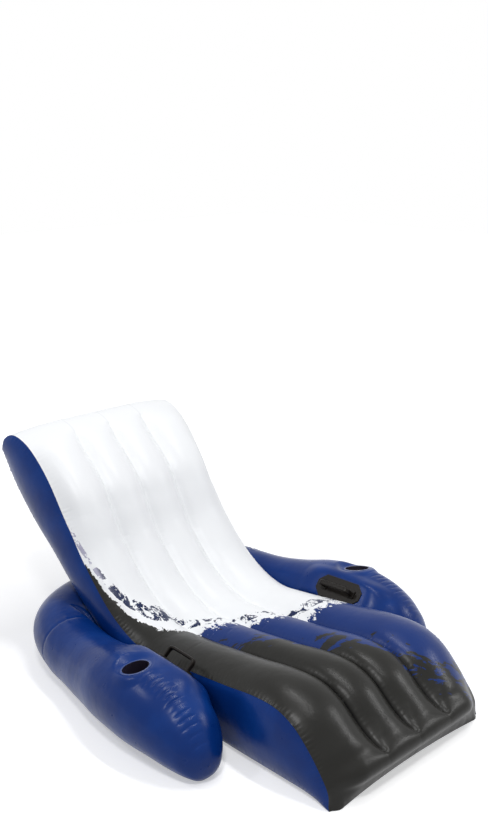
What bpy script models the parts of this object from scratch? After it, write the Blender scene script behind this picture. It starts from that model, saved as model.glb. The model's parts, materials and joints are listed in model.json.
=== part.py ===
"""Inflatable pool recliner: a channelled lounge body inside a horseshoe arm tube.

The lounge and the arm tube are two separate air chambers.  Each chamber is made of
welded vinyl panels of the real sheet thickness, so every panel is a thin closed solid.
Metres, +Z up, foot end toward -Y, origin on the floor in the middle of the lounge.
"""
import bpy
import bmesh
import math
import numpy as np
from mathutils import Matrix, Vector

# Driving dimensions of the lounge
LOUNGE_LENGTH = 1.76
LOUNGE_HEIGHT = 0.85
LOUNGE_HALF_WIDTH = 0.405
CHANNEL_SEAM_X = 0.166
FRONT_EDGE_DRAW_IN = 0.024
HEAD_EDGE_DRAW_IN = 0.018
FRONT_CORNER_RELIEF = 0.050
SIDE_CONTACT_X = 0.398
BACK_CONTACT_OFFSET = 0.020

# Driving dimensions of the arm tube
ARM_RADIUS = 0.155
ARM_PRESS_IN = 0.007
ARM_REACH = SIDE_CONTACT_X + ARM_RADIUS - ARM_PRESS_IN
ARM_FLOOR_FLAT = 0.003
CORNER_ROUNDING = 0.070

# Sheet and weld sizes
SHEET_THICKNESS = 0.00046
SEAM_GAP = 0.0003
CUT_OVERRUN = 0.012

# Joining strips between the lounge and the arm tube
STRIP_THICKNESS = 0.00046
SIDE_STRIP_HEIGHT = 0.040
SIDE_STRIP_LENGTH = 0.240
SIDE_STRIP_Y_SHARE = -0.035
SIDE_STRIP_Z = 0.128
REAR_STRIP_WIDTH = 0.500
REAR_STRIP_HEIGHT = 0.060
REAR_STRIP_RISE = 0.020

# Cup holders
CUP_RADIUS = 0.047
CUP_DEPTH = 0.095
CUP_WALL = 0.0008
CUP_FLOOR_TAPER = 0.004
CUP_RIM_WIDTH = 0.007
CUP_RIM_THICKNESS = 0.0014
CUP_SEAT_SINK = 0.012
CUP_PAD_LENGTH = 0.078
CUP_PAD_WIDTH = 0.060
CUP_REAR_TILT_DEG = 11.0
CUP_INWARD_TILT_DEG = 5.0

# Grab handles
HANDLE_PLATE_LENGTH = 0.212
HANDLE_PLATE_WIDTH = 0.094
HANDLE_PLATE_CHAMFER = 0.030
HANDLE_PLATE_THICKNESS = 0.0034
HANDLE_PLATE_EDGE = 0.0016
HANDLE_SEAT_SINK = 0.0035
HANDLE_PAD_LENGTH = 0.112
HANDLE_PAD_WIDTH = 0.052
GRIP_HEIGHT = 0.052
GRIP_SPAN = 0.132
GRIP_WIDTH = 0.020
GRIP_DEPTH = 0.011
GRIP_CORNER = 0.015
BOSS_LENGTH = 0.025
BOSS_WIDTH = 0.034
BOSS_HEIGHT = 0.0070
BOSS_CORNER = 0.005

# Air valves
VALVE_FLANGE_RADIUS = 0.0250
VALVE_FLANGE_THICKNESS = 0.0012
VALVE_COLLAR_WALL = 0.0018
VALVE_COLLAR_HEIGHT = 0.0034
VALVE_COLLAR_DEPTH = 0.0040
STEM_RADIUS = 0.0110
STEM_BORE = 0.0085
STEM_OUT = 0.0135
STEM_IN = 0.0140
STEM_LIP_RADIUS = 0.0126
STEM_LIP_THICKNESS = 0.0016
STEM_BARB_RADIUS = 0.0122
STEM_BARB_THICKNESS = 0.0020
PLUG_HEAD_RADIUS = 0.0132
PLUG_HEAD_THICKNESS = 0.0028
PLUG_EDGE = 0.0007
PLUG_SKIRT_LENGTH = 0.0095
PLUG_SKIRT_WALL = 0.0016
PLUG_TAB_LENGTH = 0.0090
PLUG_TAB_WIDTH = 0.0100
PLUG_TAB_THICKNESS = 0.0016
TETHER_WIDTH = 0.0060
TETHER_THICKNESS = 0.0012
TETHER_RING_WALL = 0.0022
TETHER_LOOP_OUT = 0.0110
FLAP_RADIUS = 0.0100
FLAP_THICKNESS = 0.0008
FLAP_TAB_REACH = 0.0118
FLAP_TAB_WIDTH = 0.0060
FIT_GAP = 0.0003

# Counts
LOUNGE_ROWS = 28
OUTER_CHANNEL_SEGMENTS = 5
INNER_CHANNEL_SEGMENTS = 4
UNDERSIDE_OUTER_SEGMENTS = 3
UNDERSIDE_INNER_SEGMENTS = 2
SIDE_SEGMENTS = 3
ROUND_SEGMENTS = 32
SMALL_SEGMENTS = 20
GRIP_CORNER_STEPS = 5
TETHER_STEPS = 8
LOUNGE_PRESS_STEPS = 6

# Shares
LOUNGE_MIDDLE_SHARE = 0.4975
SEAT_FADE_SHARE = 1.7
GRIP_ROUND_SHARE = 0.9
PANEL_END_SHARE = 0.3

# Lounge outline, front edge to head edge.  Upper and lower profile as shares of length and
# height, half width as a share, how deep the channel seams pull, and how far the sheet swells.
UPPER_PROFILE_SHARES = (
    (0.000, 0.000), (-0.002, 0.052), (-0.004, 0.110), (0.029, 0.149), (0.065, 0.200),
    (0.108, 0.273), (0.153, 0.311), (0.210, 0.314), (0.284, 0.292), (0.375, 0.268),
    (0.466, 0.245), (0.540, 0.236), (0.602, 0.271), (0.659, 0.341), (0.710, 0.441),
    (0.750, 0.544), (0.780, 0.665), (0.807, 0.771), (0.852, 0.871), (0.909, 0.965),
    (0.955, 0.998), (0.986, 0.982), (1.000, 0.941),
)
LOWER_PROFILE_SHARES = (
    (0.000, 0.000), (0.026, 0.007), (0.051, 0.016), (0.080, 0.021), (0.114, 0.021),
    (0.153, 0.021), (0.193, 0.021), (0.239, 0.021), (0.301, 0.021), (0.375, 0.021),
    (0.455, 0.021), (0.528, 0.029), (0.597, 0.088), (0.670, 0.182), (0.739, 0.285),
    (0.801, 0.392), (0.855, 0.500), (0.907, 0.594), (0.949, 0.688), (0.980, 0.776),
    (0.998, 0.853), (1.005, 0.900), (1.000, 0.941),
)
HALF_WIDTH_SHARES = (
    1.000, 0.993, 0.988, 0.983, 0.980, 0.978, 0.976, 0.974, 0.967, 0.957, 0.948, 0.940,
    0.932, 0.925, 0.919, 0.915, 0.914, 0.916, 0.921, 0.928, 0.938, 0.951, 0.958,
)
SEAM_PULL_SHARES = (
    0.0, 0.0, 0.25, 1.0, 1.0, 1.0, 1.0, 1.0, 1.0, 1.0, 1.0, 1.0,
    1.0, 1.0, 1.0, 1.0, 1.0, 1.0, 1.0, 1.0, 0.5, 0.0, 0.0,
)
SWELL_SHARES = (
    0.0, 0.25, 0.60, 0.95, 1.0, 1.0, 1.0, 1.0, 1.0, 1.0, 1.0, 1.0,
    1.0, 1.0, 1.0, 1.0, 1.0, 1.0, 1.0, 0.95, 0.75, 0.40, 0.0,
)
# how far the front corners are drawn back from the band, and what share of that they sink
CORNER_RELIEF_SHARES = (0.0, 0.45, 1.0, 0.50, 0.10) + (0.0,) * 18
CORNER_START_SHARE = 0.70
CORNER_DROP_SHARE = 0.35
# how far the side panels may stand out past the face on which the arms bear
SIDE_FREE_SHARES = (
    1.0, 1.0, 1.0, 1.0, 1.0, 1.0, 1.0, 0.7, 0.15, 0.0, 0.0, 0.0,
    0.0, 0.0, 0.0, 0.3, 0.8, 1.0, 1.0, 1.0, 1.0, 1.0, 1.0,
)
FIRST_SEAM_CONTROL = 3
LAST_SEAM_CONTROL = 19
CHANNEL_RISE_SHARE = 0.21
PILLOW_RISE_SHARE = 0.17
UNDERSIDE_RISE_SHARE = 0.12
SIDE_BULGE_SHARE = 0.13
CONTACT_CONTROLS = (13, 16)

# Arm path, nose to the middle of the rear: across and along as shares of the arm's reach and the
# lounge's length, tube radius and centre height as shares of the arm's radius.
ARM_PATH_SHARES = (
    (1.062, 0.2200, 0.010, 0.480), (1.060, 0.2232, 0.240, 0.480), (1.054, 0.2330, 0.430, 0.490),
    (1.044, 0.2540, 0.625, 0.630), (1.028, 0.2890, 0.800, 0.790), (1.013, 0.3410, 0.930, 0.915),
    (1.000, 0.4150, 1.000, 0.981), (0.978, 0.4950, 0.960, 0.941), (0.942, 0.5750, 0.850, 0.831),
    (0.898, 0.6500, 0.795, 0.776), (0.850, 0.7220, 0.810, 0.791),
)
BOLSTER_PATH_SHARES = (
    (0.745, 0.7930, 0.860, 0.841), (0.550, 0.8240, 0.910, 0.891), (0.280, 0.8230, 0.960, 0.941),
    (0.000, 0.8200, 0.970, 0.951),
)
# Places along the path at which the tube has a ring, and the angles of the ring's points, from
# straight outward.  The outer and the inner panel meet at the crest seam and under the tube.
ARM_PLACES = (
    0.0, 0.5, 1.0, 1.7, 2.6, 3.6, 4.5, 5.2, 5.6, 5.85, 6.1, 6.35, 6.62, 7.1, 7.7, 8.4, 9.0, 9.55,
    10.0,
)
BOLSTER_PLACES = (10.4, 10.8, 11.3, 11.9, 12.6, 13.3, 14.0)
OUTER_RING_DEG = (77.0, 65.0, 53.0, 35.0, 12.0, -12.0, -37.0, -60.0, -79.0, -90.0)
INNER_RING_DEG = (91.0, 105.0, 123.0, 139.0, 155.0, 180.0, 207.0, 235.0, 259.0)
CUP_PLACE = 6.1
CUP_ANGLE_DEG = 77.0
HANDLE_PLACE = 5.97
HANDLE_ANGLE_DEG = 139.0

# Facets that carry a valve: row and column from the end on the lounge, place and angle on the arm
LOUNGE_VALVE_FACET = (22, 2)
BOLSTER_VALVE_PLACE = 12.6
BOLSTER_VALVE_ANGLE_DEG = 12.0

# What each kind of piece is made of: colour and roughness
FINISHES = {
    "print": ((0.85, 0.86, 0.87), 0.35),
    "blue": ((0.02, 0.07, 0.30), 0.28),
    "web": ((0.60, 0.62, 0.64), 0.50),
    "cup": ((0.03, 0.05, 0.12), 0.35),
    "rim": ((0.05, 0.11, 0.36), 0.32),
    "black": ((0.020, 0.017, 0.015), 0.38),
    "clear": ((0.70, 0.72, 0.74), 0.30),
}


def clear_scene():
    for item in list(bpy.data.objects):
        bpy.data.objects.remove(item, do_unlink=True)


def own_material(name, finish):
    colour, roughness = FINISHES[finish]
    material = bpy.data.materials.new(name + "_material")
    material.use_nodes = True
    shader = material.node_tree.nodes["Principled BSDF"]
    shader.inputs["Base Color"].default_value = (*colour, 1.0)
    shader.inputs["Roughness"].default_value = roughness
    return material


def smooth_value(table, place):
    """Value of a hand-chosen table at a fractional index, on a Catmull-Rom curve."""
    rows = np.array(table, dtype=float)
    if rows.ndim == 1:
        rows = rows[:, None]
    last = len(rows) - 1
    low = min(max(int(math.floor(place)), 0), last - 1)
    t = place - low
    before = rows[low - 1] if low > 0 else 2 * rows[0] - rows[1]
    after = rows[low + 2] if low + 2 <= last else 2 * rows[last] - rows[last - 1]
    start, end = rows[low], rows[low + 1]
    curve = 0.5 * (
        2 * start
        + (end - before) * t
        + (2 * before - 5 * start + 4 * end - after) * t * t
        + (3 * start - before - 3 * end + after) * t ** 3
    )
    return curve if len(curve) > 1 else float(curve[0])


def mesh_object(name, vertices, faces, finish, smooth_angle_deg=40.0):
    mesh = bpy.data.meshes.new(name)
    mesh.from_pydata([tuple(v) for v in vertices], [], faces)
    mesh.materials.append(own_material(name, finish))
    work = bmesh.new()
    work.from_mesh(mesh)
    bmesh.ops.recalc_face_normals(work, faces=work.faces)
    bmesh.ops.triangulate(work, faces=work.faces)
    work.to_mesh(mesh)
    work.free()
    mesh.shade_smooth()
    mesh.set_sharp_from_angle(angle=math.radians(smooth_angle_deg))
    item = bpy.data.objects.new(name, mesh)
    bpy.context.scene.collection.objects.link(item)
    return item


def grid_normals(grid):
    """Outward unit normals of a surface whose rows are closed rings."""
    along = np.zeros_like(grid)
    along[1:-1] = grid[2:] - grid[:-2]
    along[0] = grid[1] - grid[0]
    along[-1] = grid[-1] - grid[-2]
    steps = np.roll(grid, -1, axis=1) - grid
    lengths = np.linalg.norm(steps, axis=2, keepdims=True)
    steps = np.where(lengths > 0, steps / np.where(lengths > 0, lengths, 1), 0)
    around = steps + np.roll(steps, 1, axis=1)
    normals = np.cross(around, along)
    size = np.linalg.norm(normals, axis=2, keepdims=True)
    return normals / np.where(size > 0, size, 1)


def sheet_solid(name, outer, inner, finish):
    """Closed thin solid between two grids of the same shape."""
    rows, columns = outer.shape[:2]
    vertices = np.concatenate([outer.reshape(-1, 3), inner.reshape(-1, 3)])
    shift = rows * columns
    faces = []
    for i in range(rows - 1):
        for j in range(columns - 1):
            a, b = i * columns + j, i * columns + j + 1
            c, d = b + columns, a + columns
            faces.append((a, b, c, d))
            faces.append((a + shift, d + shift, c + shift, b + shift))
    rim = [j for j in range(columns)]
    rim += [i * columns + columns - 1 for i in range(1, rows)]
    rim += [(rows - 1) * columns + j for j in range(columns - 2, -1, -1)]
    rim += [i * columns for i in range(rows - 2, 0, -1)]
    for k, a in enumerate(rim):
        b = rim[(k + 1) % len(rim)]
        faces.append((b, a, a + shift, b + shift))
    return mesh_object(name, vertices, faces, finish)


def toward(start, end, distance):
    """Points moved a fixed distance from start toward end."""
    step = end - start
    length = np.linalg.norm(step, axis=-1, keepdims=True)
    return start + step / np.where(length > 0, length, 1) * distance


def arc_rise(share, chord, rise):
    """Height of a circular arc of the given chord and rise, at a share of the chord."""
    if rise <= 0:
        return 0.0
    radius = (chord * chord / 4 + rise * rise) / (2 * rise)
    offset = (share - 0.5) * chord
    return math.sqrt(max(radius * radius - offset * offset, 0.0)) - (radius - rise)


def boolean(item, cutter, operation):
    modifier = item.modifiers.new(cutter.name, "BOOLEAN")
    modifier.operation = operation
    modifier.solver = "EXACT"
    modifier.object = cutter
    cutter.hide_render = True
    cutter.display_type = "WIRE"


def place_frame(centre, normal, along):
    """Matrix of a seat: its x runs along, its z is the outward normal."""
    z = Vector(normal).normalized()
    x = Vector(along)
    x = (x - z * x.dot(z)).normalized()
    y = z.cross(x)
    c = Vector(centre)
    return Matrix(((x.x, y.x, z.x, c.x), (x.y, y.y, z.y, c.y), (x.z, y.z, z.z, c.z), (0, 0, 0, 1)))


def revolved(name, profile, segments, finish, frame):
    """Solid of revolution about the frame's z.  The profile is a closed loop of (radius, z); points
    on the axis become one pole."""
    vertices, rings, faces = [], [], []
    for radius, z in profile:
        if radius <= 0:
            rings.append([len(vertices)] * segments)
            vertices.append((0.0, 0.0, z))
            continue
        rings.append(list(range(len(vertices), len(vertices) + segments)))
        for k in range(segments):
            turn = 2 * math.pi * k / segments
            vertices.append((radius * math.cos(turn), radius * math.sin(turn), z))
    for i, ring in enumerate(rings):
        after = rings[(i + 1) % len(rings)]
        for k in range(segments):
            n = (k + 1) % segments
            face = [ring[k], ring[n], after[n], after[k]]
            face = [v for j, v in enumerate(face) if v != face[j - 1]]
            if len(face) > 2:
                faces.append(face)
    item = mesh_object(name, vertices, faces, finish)
    item.matrix_world = frame
    return item


def lofted(name, sections, finish, frame):
    """Solid through closed sections of equal point count, with flat ends."""
    count = len(sections[0])
    vertices = [point for section in sections for point in section]
    faces = [tuple(range(count)), tuple(range(len(vertices) - count, len(vertices)))]
    for i in range(len(sections) - 1):
        for k in range(count):
            n = (k + 1) % count
            base, after = i * count, (i + 1) * count
            faces.append((base + k, base + n, after + n, after + k))
    item = mesh_object(name, vertices, faces, finish)
    item.matrix_world = frame
    return item


def rounded_rectangle(length, width, corner, steps=3):
    points = []
    for turn, (sx, sy) in enumerate(((1, 1), (-1, 1), (-1, -1), (1, -1))):
        centre = (sx * (length / 2 - corner), sy * (width / 2 - corner))
        for k in range(steps + 1):
            angle = math.pi / 2 * (turn + k / steps)
            points.append((centre[0] + corner * math.cos(angle), centre[1] + corner * math.sin(angle)))
    return points


def octagon(length, width, chamfer):
    x, y = length / 2, width / 2
    return [(x, y - chamfer), (x - chamfer, y), (chamfer - x, y), (-x, y - chamfer),
            (-x, chamfer - y), (chamfer - x, -y), (x - chamfer, -y), (x, chamfer - y)]


def at_height(outline, z):
    return [(x, y, z) for x, y in outline]


# Lounge surface


def contact_plane():
    """Plane along the back's underside on which the bolster bears: a point and its normal (y, z)."""
    low = lower_point(CONTACT_CONTROLS[0])
    high = lower_point(CONTACT_CONTROLS[1])
    along = (high - low) / np.linalg.norm(high - low)
    normal = np.array([along[1], -along[0]])
    return low + normal * BACK_CONTACT_OFFSET, normal


def lower_point(place):
    y_share, z_share = smooth_value(LOWER_PROFILE_SHARES, place)
    return np.array([(y_share - LOUNGE_MIDDLE_SHARE) * LOUNGE_LENGTH, z_share * LOUNGE_HEIGHT])


def upper_point(place):
    y_share, z_share = smooth_value(UPPER_PROFILE_SHARES, place)
    return np.array([(y_share - LOUNGE_MIDDLE_SHARE) * LOUNGE_LENGTH, z_share * LOUNGE_HEIGHT])


def profile_normal(point, place, outward):
    """Unit normal of a profile in the (y, z) plane."""
    last = len(UPPER_PROFILE_SHARES) - 1
    before = point(max(place - 0.2, 0.0))
    after = point(min(place + 0.2, float(last)))
    along = (after - before) / np.linalg.norm(after - before)
    return np.array([-along[1], along[0]]) * outward


def channel_places(half_width, segments):
    """Places across the lounge with the channel each belongs to: (x, share, chord)."""
    edges = (-half_width, -CHANNEL_SEAM_X, 0.0, CHANNEL_SEAM_X, half_width)
    places = []
    for number in range(4):
        left, right = edges[number], edges[number + 1]
        count = segments[number]
        for k in range(count):
            share = k / count
            places.append((left + (right - left) * share, share, right - left))
    places.append((half_width, 0.0, 0.0))
    return places


def swell_at(x, share, chord, half_width, place, rise_share):
    """How far the sheet stands off its seam profile."""
    pull = smooth_value(SEAM_PULL_SHARES, place)
    swell = min(max(smooth_value(SWELL_SHARES, place), 0.0), 1.0)
    pull = min(max(pull, 0.0), 1.0)
    channel = arc_rise(share, chord, rise_share * chord) if chord > 0 else 0.0
    pillow = PILLOW_RISE_SHARE * CHANNEL_SEAM_X * (1 - (x / half_width) ** 4)
    if rise_share < CHANNEL_RISE_SHARE:
        pillow *= rise_share / CHANNEL_RISE_SHARE
    return swell * (pull * channel + (1 - pull) * pillow)


def edge_draw_in(x, half_width, place):
    """How far the front and head edges pull in between their corners."""
    last = len(UPPER_PROFILE_SHARES) - 1
    middle = 1 - (x / half_width) ** 2
    front = FRONT_EDGE_DRAW_IN * max(1 - place / 2, 0.0)
    head = HEAD_EDGE_DRAW_IN * max(1 - (last - place) / 2, 0.0)
    return middle * (front - head)


def corner_relief(x, half_width, place):
    """How far the front corners lean back from the upright band, as (y, z)."""
    t = (abs(x) / half_width - CORNER_START_SHARE) / (1 - CORNER_START_SHARE)
    t = min(max(t, 0.0), 1.0)
    back = FRONT_CORNER_RELIEF * t * t * (3 - 2 * t)
    back *= max(smooth_value(CORNER_RELIEF_SHARES, place), 0.0)
    return np.array([back, -CORNER_DROP_SHARE * back])


def lounge_row(place):
    """One closed ring of the lounge: top sheet, right side, bottom sheet, left side."""
    half_width = smooth_value(HALF_WIDTH_SHARES, place) * LOUNGE_HALF_WIDTH
    top, bottom = upper_point(place), lower_point(place)
    up = profile_normal(upper_point, place, 1.0)
    down = profile_normal(lower_point, place, -1.0)
    plane_point, plane_normal = contact_plane()
    outer, inner = OUTER_CHANNEL_SEGMENTS, INNER_CHANNEL_SEGMENTS
    ring = []
    for x, share, chord in channel_places(half_width, (outer, inner, inner, outer)):
        lift = swell_at(x, share, chord, half_width, place, CHANNEL_RISE_SHARE)
        y, z = top + up * lift + corner_relief(x, half_width, place)
        ring.append((x, y + edge_draw_in(x, half_width, place), max(z, 0.0)))
    top = top + corner_relief(half_width, half_width, place)
    height = float(np.linalg.norm(top - bottom))
    bulge = SIDE_BULGE_SHARE * height
    free = min(max(smooth_value(SIDE_FREE_SHARES, place), 0.0), 1.0)
    limit = max(SIDE_CONTACT_X, half_width) + free * bulge

    def side(share, sign):
        y, z = top + (bottom - top) * share
        x = half_width + arc_rise(share, height, bulge) if height > 0 else half_width
        return (sign * min(x, limit), y, z)

    for k in range(1, SIDE_SEGMENTS):
        ring.append(side(k / SIDE_SEGMENTS, 1))
    wide, narrow = UNDERSIDE_OUTER_SEGMENTS, UNDERSIDE_INNER_SEGMENTS
    below = []
    for x, share, chord in channel_places(half_width, (wide, narrow, narrow, wide)):
        drop = swell_at(x, share, chord, half_width, place, UNDERSIDE_RISE_SHARE)
        point = bottom + down * drop
        beyond = float(np.dot(point - plane_point, plane_normal))
        if beyond > 0:
            point = point - plane_normal * beyond
        y, z = point
        below.append((x, y + edge_draw_in(x, half_width, place), max(z, 0.0)))
    ring += below[::-1]
    for k in range(SIDE_SEGMENTS - 1, 0, -1):
        ring.append(side(k / SIDE_SEGMENTS, -1))
    return ring


def lounge_places():
    last = len(UPPER_PROFILE_SHARES) - 1
    return [last * k / LOUNGE_ROWS for k in range(LOUNGE_ROWS + 1)]


TOP_COLUMNS = 2 * (OUTER_CHANNEL_SEGMENTS + INNER_CHANNEL_SEGMENTS)
RIGHT_SIDE_END = TOP_COLUMNS + SIDE_SEGMENTS
BOTTOM_END = RIGHT_SIDE_END + 2 * (UNDERSIDE_OUTER_SEGMENTS + UNDERSIDE_INNER_SEGMENTS)
BOTTOM_SEAM_COLUMNS = tuple(
    BOTTOM_END - UNDERSIDE_OUTER_SEGMENTS - UNDERSIDE_INNER_SEGMENTS * k for k in range(3)
)


def seat_facet(grid, row, column):
    """Make one facet of a grid flat, and give the seat on it: centre, normal and direction along."""
    rows, columns = (row, row, row + 1, row + 1), (column, column + 1, column + 1, column)
    corners = grid[rows, columns]
    centre = corners.mean(axis=0)
    normal = np.cross(corners[2] - corners[0], corners[3] - corners[1])
    normal /= np.linalg.norm(normal)
    grid[rows, columns] = corners - np.outer((corners - centre) @ normal, normal)
    return centre, normal, corners[2] - corners[1]


def lounge_grids():
    outer = np.array([lounge_row(place) for place in lounge_places()])
    # the closing seam line is written once more, so that a panel can end on it
    outer = np.concatenate([outer, outer[:, :1]], axis=1)
    valve_row, from_end = LOUNGE_VALVE_FACET
    column = BOTTOM_END - from_end
    seat = seat_facet(outer, valve_row, column)
    normals = grid_normals(outer[:, :-1])
    normals = np.concatenate([normals, normals[:, :1]], axis=1)
    # at the front and head edges each sheet keeps its own normal
    normals[0, :TOP_COLUMNS + 1] = normals[1, :TOP_COLUMNS + 1]
    normals[-1, :TOP_COLUMNS + 1] = normals[-2, :TOP_COLUMNS + 1]
    outward = normals[valve_row, column]
    seat = (seat[0], seat[1] * math.copysign(1.0, float(seat[1] @ outward)), seat[2])
    return outer, normals, seat


def shell(outer, normals):
    return outer - normals * SHEET_THICKNESS


def top_sheet(outer, normals):
    columns = slice(0, TOP_COLUMNS + 1)
    surface = outer[:, columns].copy()
    inside = shell(surface, normals[:, columns])
    inside[..., 2] = np.maximum(inside[..., 2], 0.0)
    return sheet_solid("top_sheet", surface, inside, "print")


def bottom_sheet(outer, normals):
    columns = slice(RIGHT_SIDE_END, BOTTOM_END + 1)
    surface = outer[:, columns].copy()
    clear = 2 * SHEET_THICKNESS + SEAM_GAP
    surface[0] = toward(surface[0], surface[1], clear)
    surface[-1] = toward(surface[-1], surface[-2], clear)
    facing = normals[:, columns].copy()
    facing[0], facing[-1] = facing[1], facing[-2]
    inside = shell(surface, facing)
    return sheet_solid("bottom_sheet", surface, inside, "blue")


def side_panel(name, first, last, outer, normals):
    columns = slice(first, last + 1)
    surface = outer[:, columns].copy()
    facing = normals[:, columns].copy()
    # the pointed ends stop a little short of the corners
    surface[0] = surface[0] + (surface[1] - surface[0]) * PANEL_END_SHARE
    surface[-1] = surface[-1] + (surface[-2] - surface[-1]) * PANEL_END_SHARE
    facing[0], facing[-1] = facing[1], facing[-2]
    edge_a = toward(surface[:, 0], surface[:, 1], SEAM_GAP)
    edge_b = toward(surface[:, -1], surface[:, -2], SEAM_GAP)
    surface[:, 0], surface[:, -1] = edge_a, edge_b
    return sheet_solid(name, surface, shell(surface, facing), "blue")


def channel_rib(name, top_column, bottom_column, outer, normals):
    """Web welded under one channel seam, from the top sheet down to the bottom sheet."""
    places = lounge_places()
    rows = [i for i, p in enumerate(places) if FIRST_SEAM_CONTROL <= p <= LAST_SEAM_CONTROL]
    reach = SHEET_THICKNESS + SEAM_GAP
    high = outer[rows, top_column] - normals[rows, top_column] * reach
    low = outer[rows, bottom_column] - normals[rows, bottom_column] * reach
    face = np.stack([high, low], axis=1)
    half = np.array([SHEET_THICKNESS / 2, 0, 0])
    return sheet_solid(name, face + half, face - half, "web")


def make_lounge():
    outer, normals, seat = lounge_grids()
    top_sheet(outer, normals)
    bottom = bottom_sheet(outer, normals)
    side_panel("side_panel_right", TOP_COLUMNS, RIGHT_SIDE_END, outer, normals)
    side_panel("side_panel_left", BOTTOM_END, BOTTOM_END + SIDE_SEGMENTS, outer, normals)
    first = OUTER_CHANNEL_SEGMENTS
    step = INNER_CHANNEL_SEGMENTS
    for number, label in enumerate(("left", "centre", "right")):
        name = f"channel_rib_{label}"
        channel_rib(name, first + step * number, BOTTOM_SEAM_COLUMNS[number], outer, normals)
    return bottom, seat


# Arm tube surface


def clear_of_lounge(point):
    """Press an arm point against the lounge's side or the back's underside where it would enter.
    The corner between the two is rounded, so that facets across it stay outside too."""
    x, y, z = point
    between = STRIP_THICKNESS + 2 * SEAM_GAP
    plane_point, plane_normal = contact_plane()
    sign = math.copysign(1.0, x)
    for _ in range(LOUNGE_PRESS_STEPS):
        inside_side = SIDE_CONTACT_X + between - abs(x)
        beyond = (y - plane_point[0]) * plane_normal[0] + (z - plane_point[1]) * plane_normal[1]
        inside_back = between - beyond
        near = max(CORNER_ROUNDING - abs(inside_side - inside_back), 0.0)
        depth = min(inside_side, inside_back) + near * near / (4 * CORNER_ROUNDING)
        if depth <= 0:
            break
        share = (inside_back - inside_side) / (2 * CORNER_ROUNDING) + 0.5
        share = min(max(share, 0.0), 1.0)
        length = math.hypot(share, 1 - share)
        x += sign * depth * share / length ** 2
        y += plane_normal[0] * depth * (1 - share) / length ** 2
        z += plane_normal[1] * depth * (1 - share) / length ** 2
    return np.array([x, y, max(z, 0.0)])


def arm_station(place):
    """Centre, outward direction, direction along, and radius of the right half of the tube."""
    table = ARM_PATH_SHARES + BOLSTER_PATH_SHARES
    mirrored = table + tuple((-a, b, c, d) for a, b, c, d in table[-2::-1])
    x, y, r, z = smooth_value(mirrored, place)
    step = smooth_value(mirrored, place + 0.1) - smooth_value(mirrored, max(place - 0.1, 0.0))
    along = np.array([step[0] * ARM_REACH, step[1] * LOUNGE_LENGTH, 0.0])
    along /= np.linalg.norm(along)
    across = np.array([along[1], -along[0], 0.0])
    centre = np.array([x * ARM_REACH, (y - LOUNGE_MIDDLE_SHARE) * LOUNGE_LENGTH, z * ARM_RADIUS])
    return centre, across, along, r * ARM_RADIUS


def arm_direction(across, angle_deg):
    turn = math.radians(angle_deg)
    return across * math.cos(turn) + np.array([0.0, 0.0, math.sin(turn)])


def arm_seats():
    """Flat seats pressed into the right arm: (centre, normal, along, half length, half width)."""
    centre, across, along, radius = arm_station(CUP_PLACE)
    normal = arm_direction(across, CUP_ANGLE_DEG)
    lean = math.radians(CUP_REAR_TILT_DEG)
    seat = centre + normal * (radius - CUP_SEAT_SINK)
    normal = arm_direction(across, CUP_ANGLE_DEG + CUP_INWARD_TILT_DEG)
    normal = normal * math.cos(lean) + along * math.sin(lean)
    cup = (seat, normal, along, CUP_PAD_LENGTH, CUP_PAD_WIDTH)
    centre, across, along, radius = arm_station(HANDLE_PLACE)
    normal = arm_direction(across, HANDLE_ANGLE_DEG)
    seat = centre + normal * (radius - HANDLE_SEAT_SINK)
    handle = (seat, normal, along, HANDLE_PAD_LENGTH, HANDLE_PAD_WIDTH)
    return cup, handle


def pressed_flat(point, seats):
    """Move a surface point onto the flat seats near it, fading out around each."""
    # the cup's seat comes last, so that the handle's does not lift it
    for centre, normal, along, half_length, half_width in seats[::-1]:
        along = along - normal * float(along @ normal)
        along = along / np.linalg.norm(along)
        side = np.cross(normal, along)
        off = point - centre
        height = float(off @ normal)
        if height < -half_length:
            continue
        reach = max(abs(float(off @ along)) / half_length, abs(float(off @ side)) / half_width)
        fade = min(max((SEAT_FADE_SHARE - reach) / (SEAT_FADE_SHARE - 1), 0.0), 1.0)
        point = point - normal * height * fade * fade * (3 - 2 * fade)
    return point


def arm_ring(place, seats):
    """Closed ring of the tube, from the crest seam down the outer half and up the inner half."""
    centre, across, _, radius = arm_station(place)
    ring = []
    for angle in OUTER_RING_DEG + INNER_RING_DEG[::-1]:
        point = centre + arm_direction(across, angle) * radius
        point[2] = max(point[2], 0.0)
        ring.append(clear_of_lounge(pressed_flat(point, seats)))
    return ring


def arm_grids():
    seats = arm_seats()
    right = np.array([arm_ring(place, seats) for place in ARM_PLACES + BOLSTER_PLACES])
    left = right[-2::-1].copy()
    left[..., 0] *= -1
    # mirrored rings keep the same column order: crest, outer half, floor, inner half
    outer = np.concatenate([right, left])
    outer = np.concatenate([outer, outer[:, :1]], axis=1)
    row = (ARM_PLACES + BOLSTER_PLACES).index(BOLSTER_VALVE_PLACE)
    valve = seat_facet(outer, row, OUTER_RING_DEG.index(BOLSTER_VALVE_ANGLE_DEG))
    normals = grid_normals(outer[:, :-1])
    if float(normals[row, OUTER_RING_DEG.index(BOLSTER_VALVE_ANGLE_DEG), 1]) < 0:
        normals = -normals
    normals = np.concatenate([normals, normals[:, :1]], axis=1)
    valve = (valve[0], valve[1] * math.copysign(1.0, float(valve[1][1])), valve[2])
    return outer, normals, seats, valve


HALF_RING = len(OUTER_RING_DEG) - 1
RING_END = HALF_RING + len(INNER_RING_DEG) + 1
ARM_ROWS = len(ARM_PLACES) - 1


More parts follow.
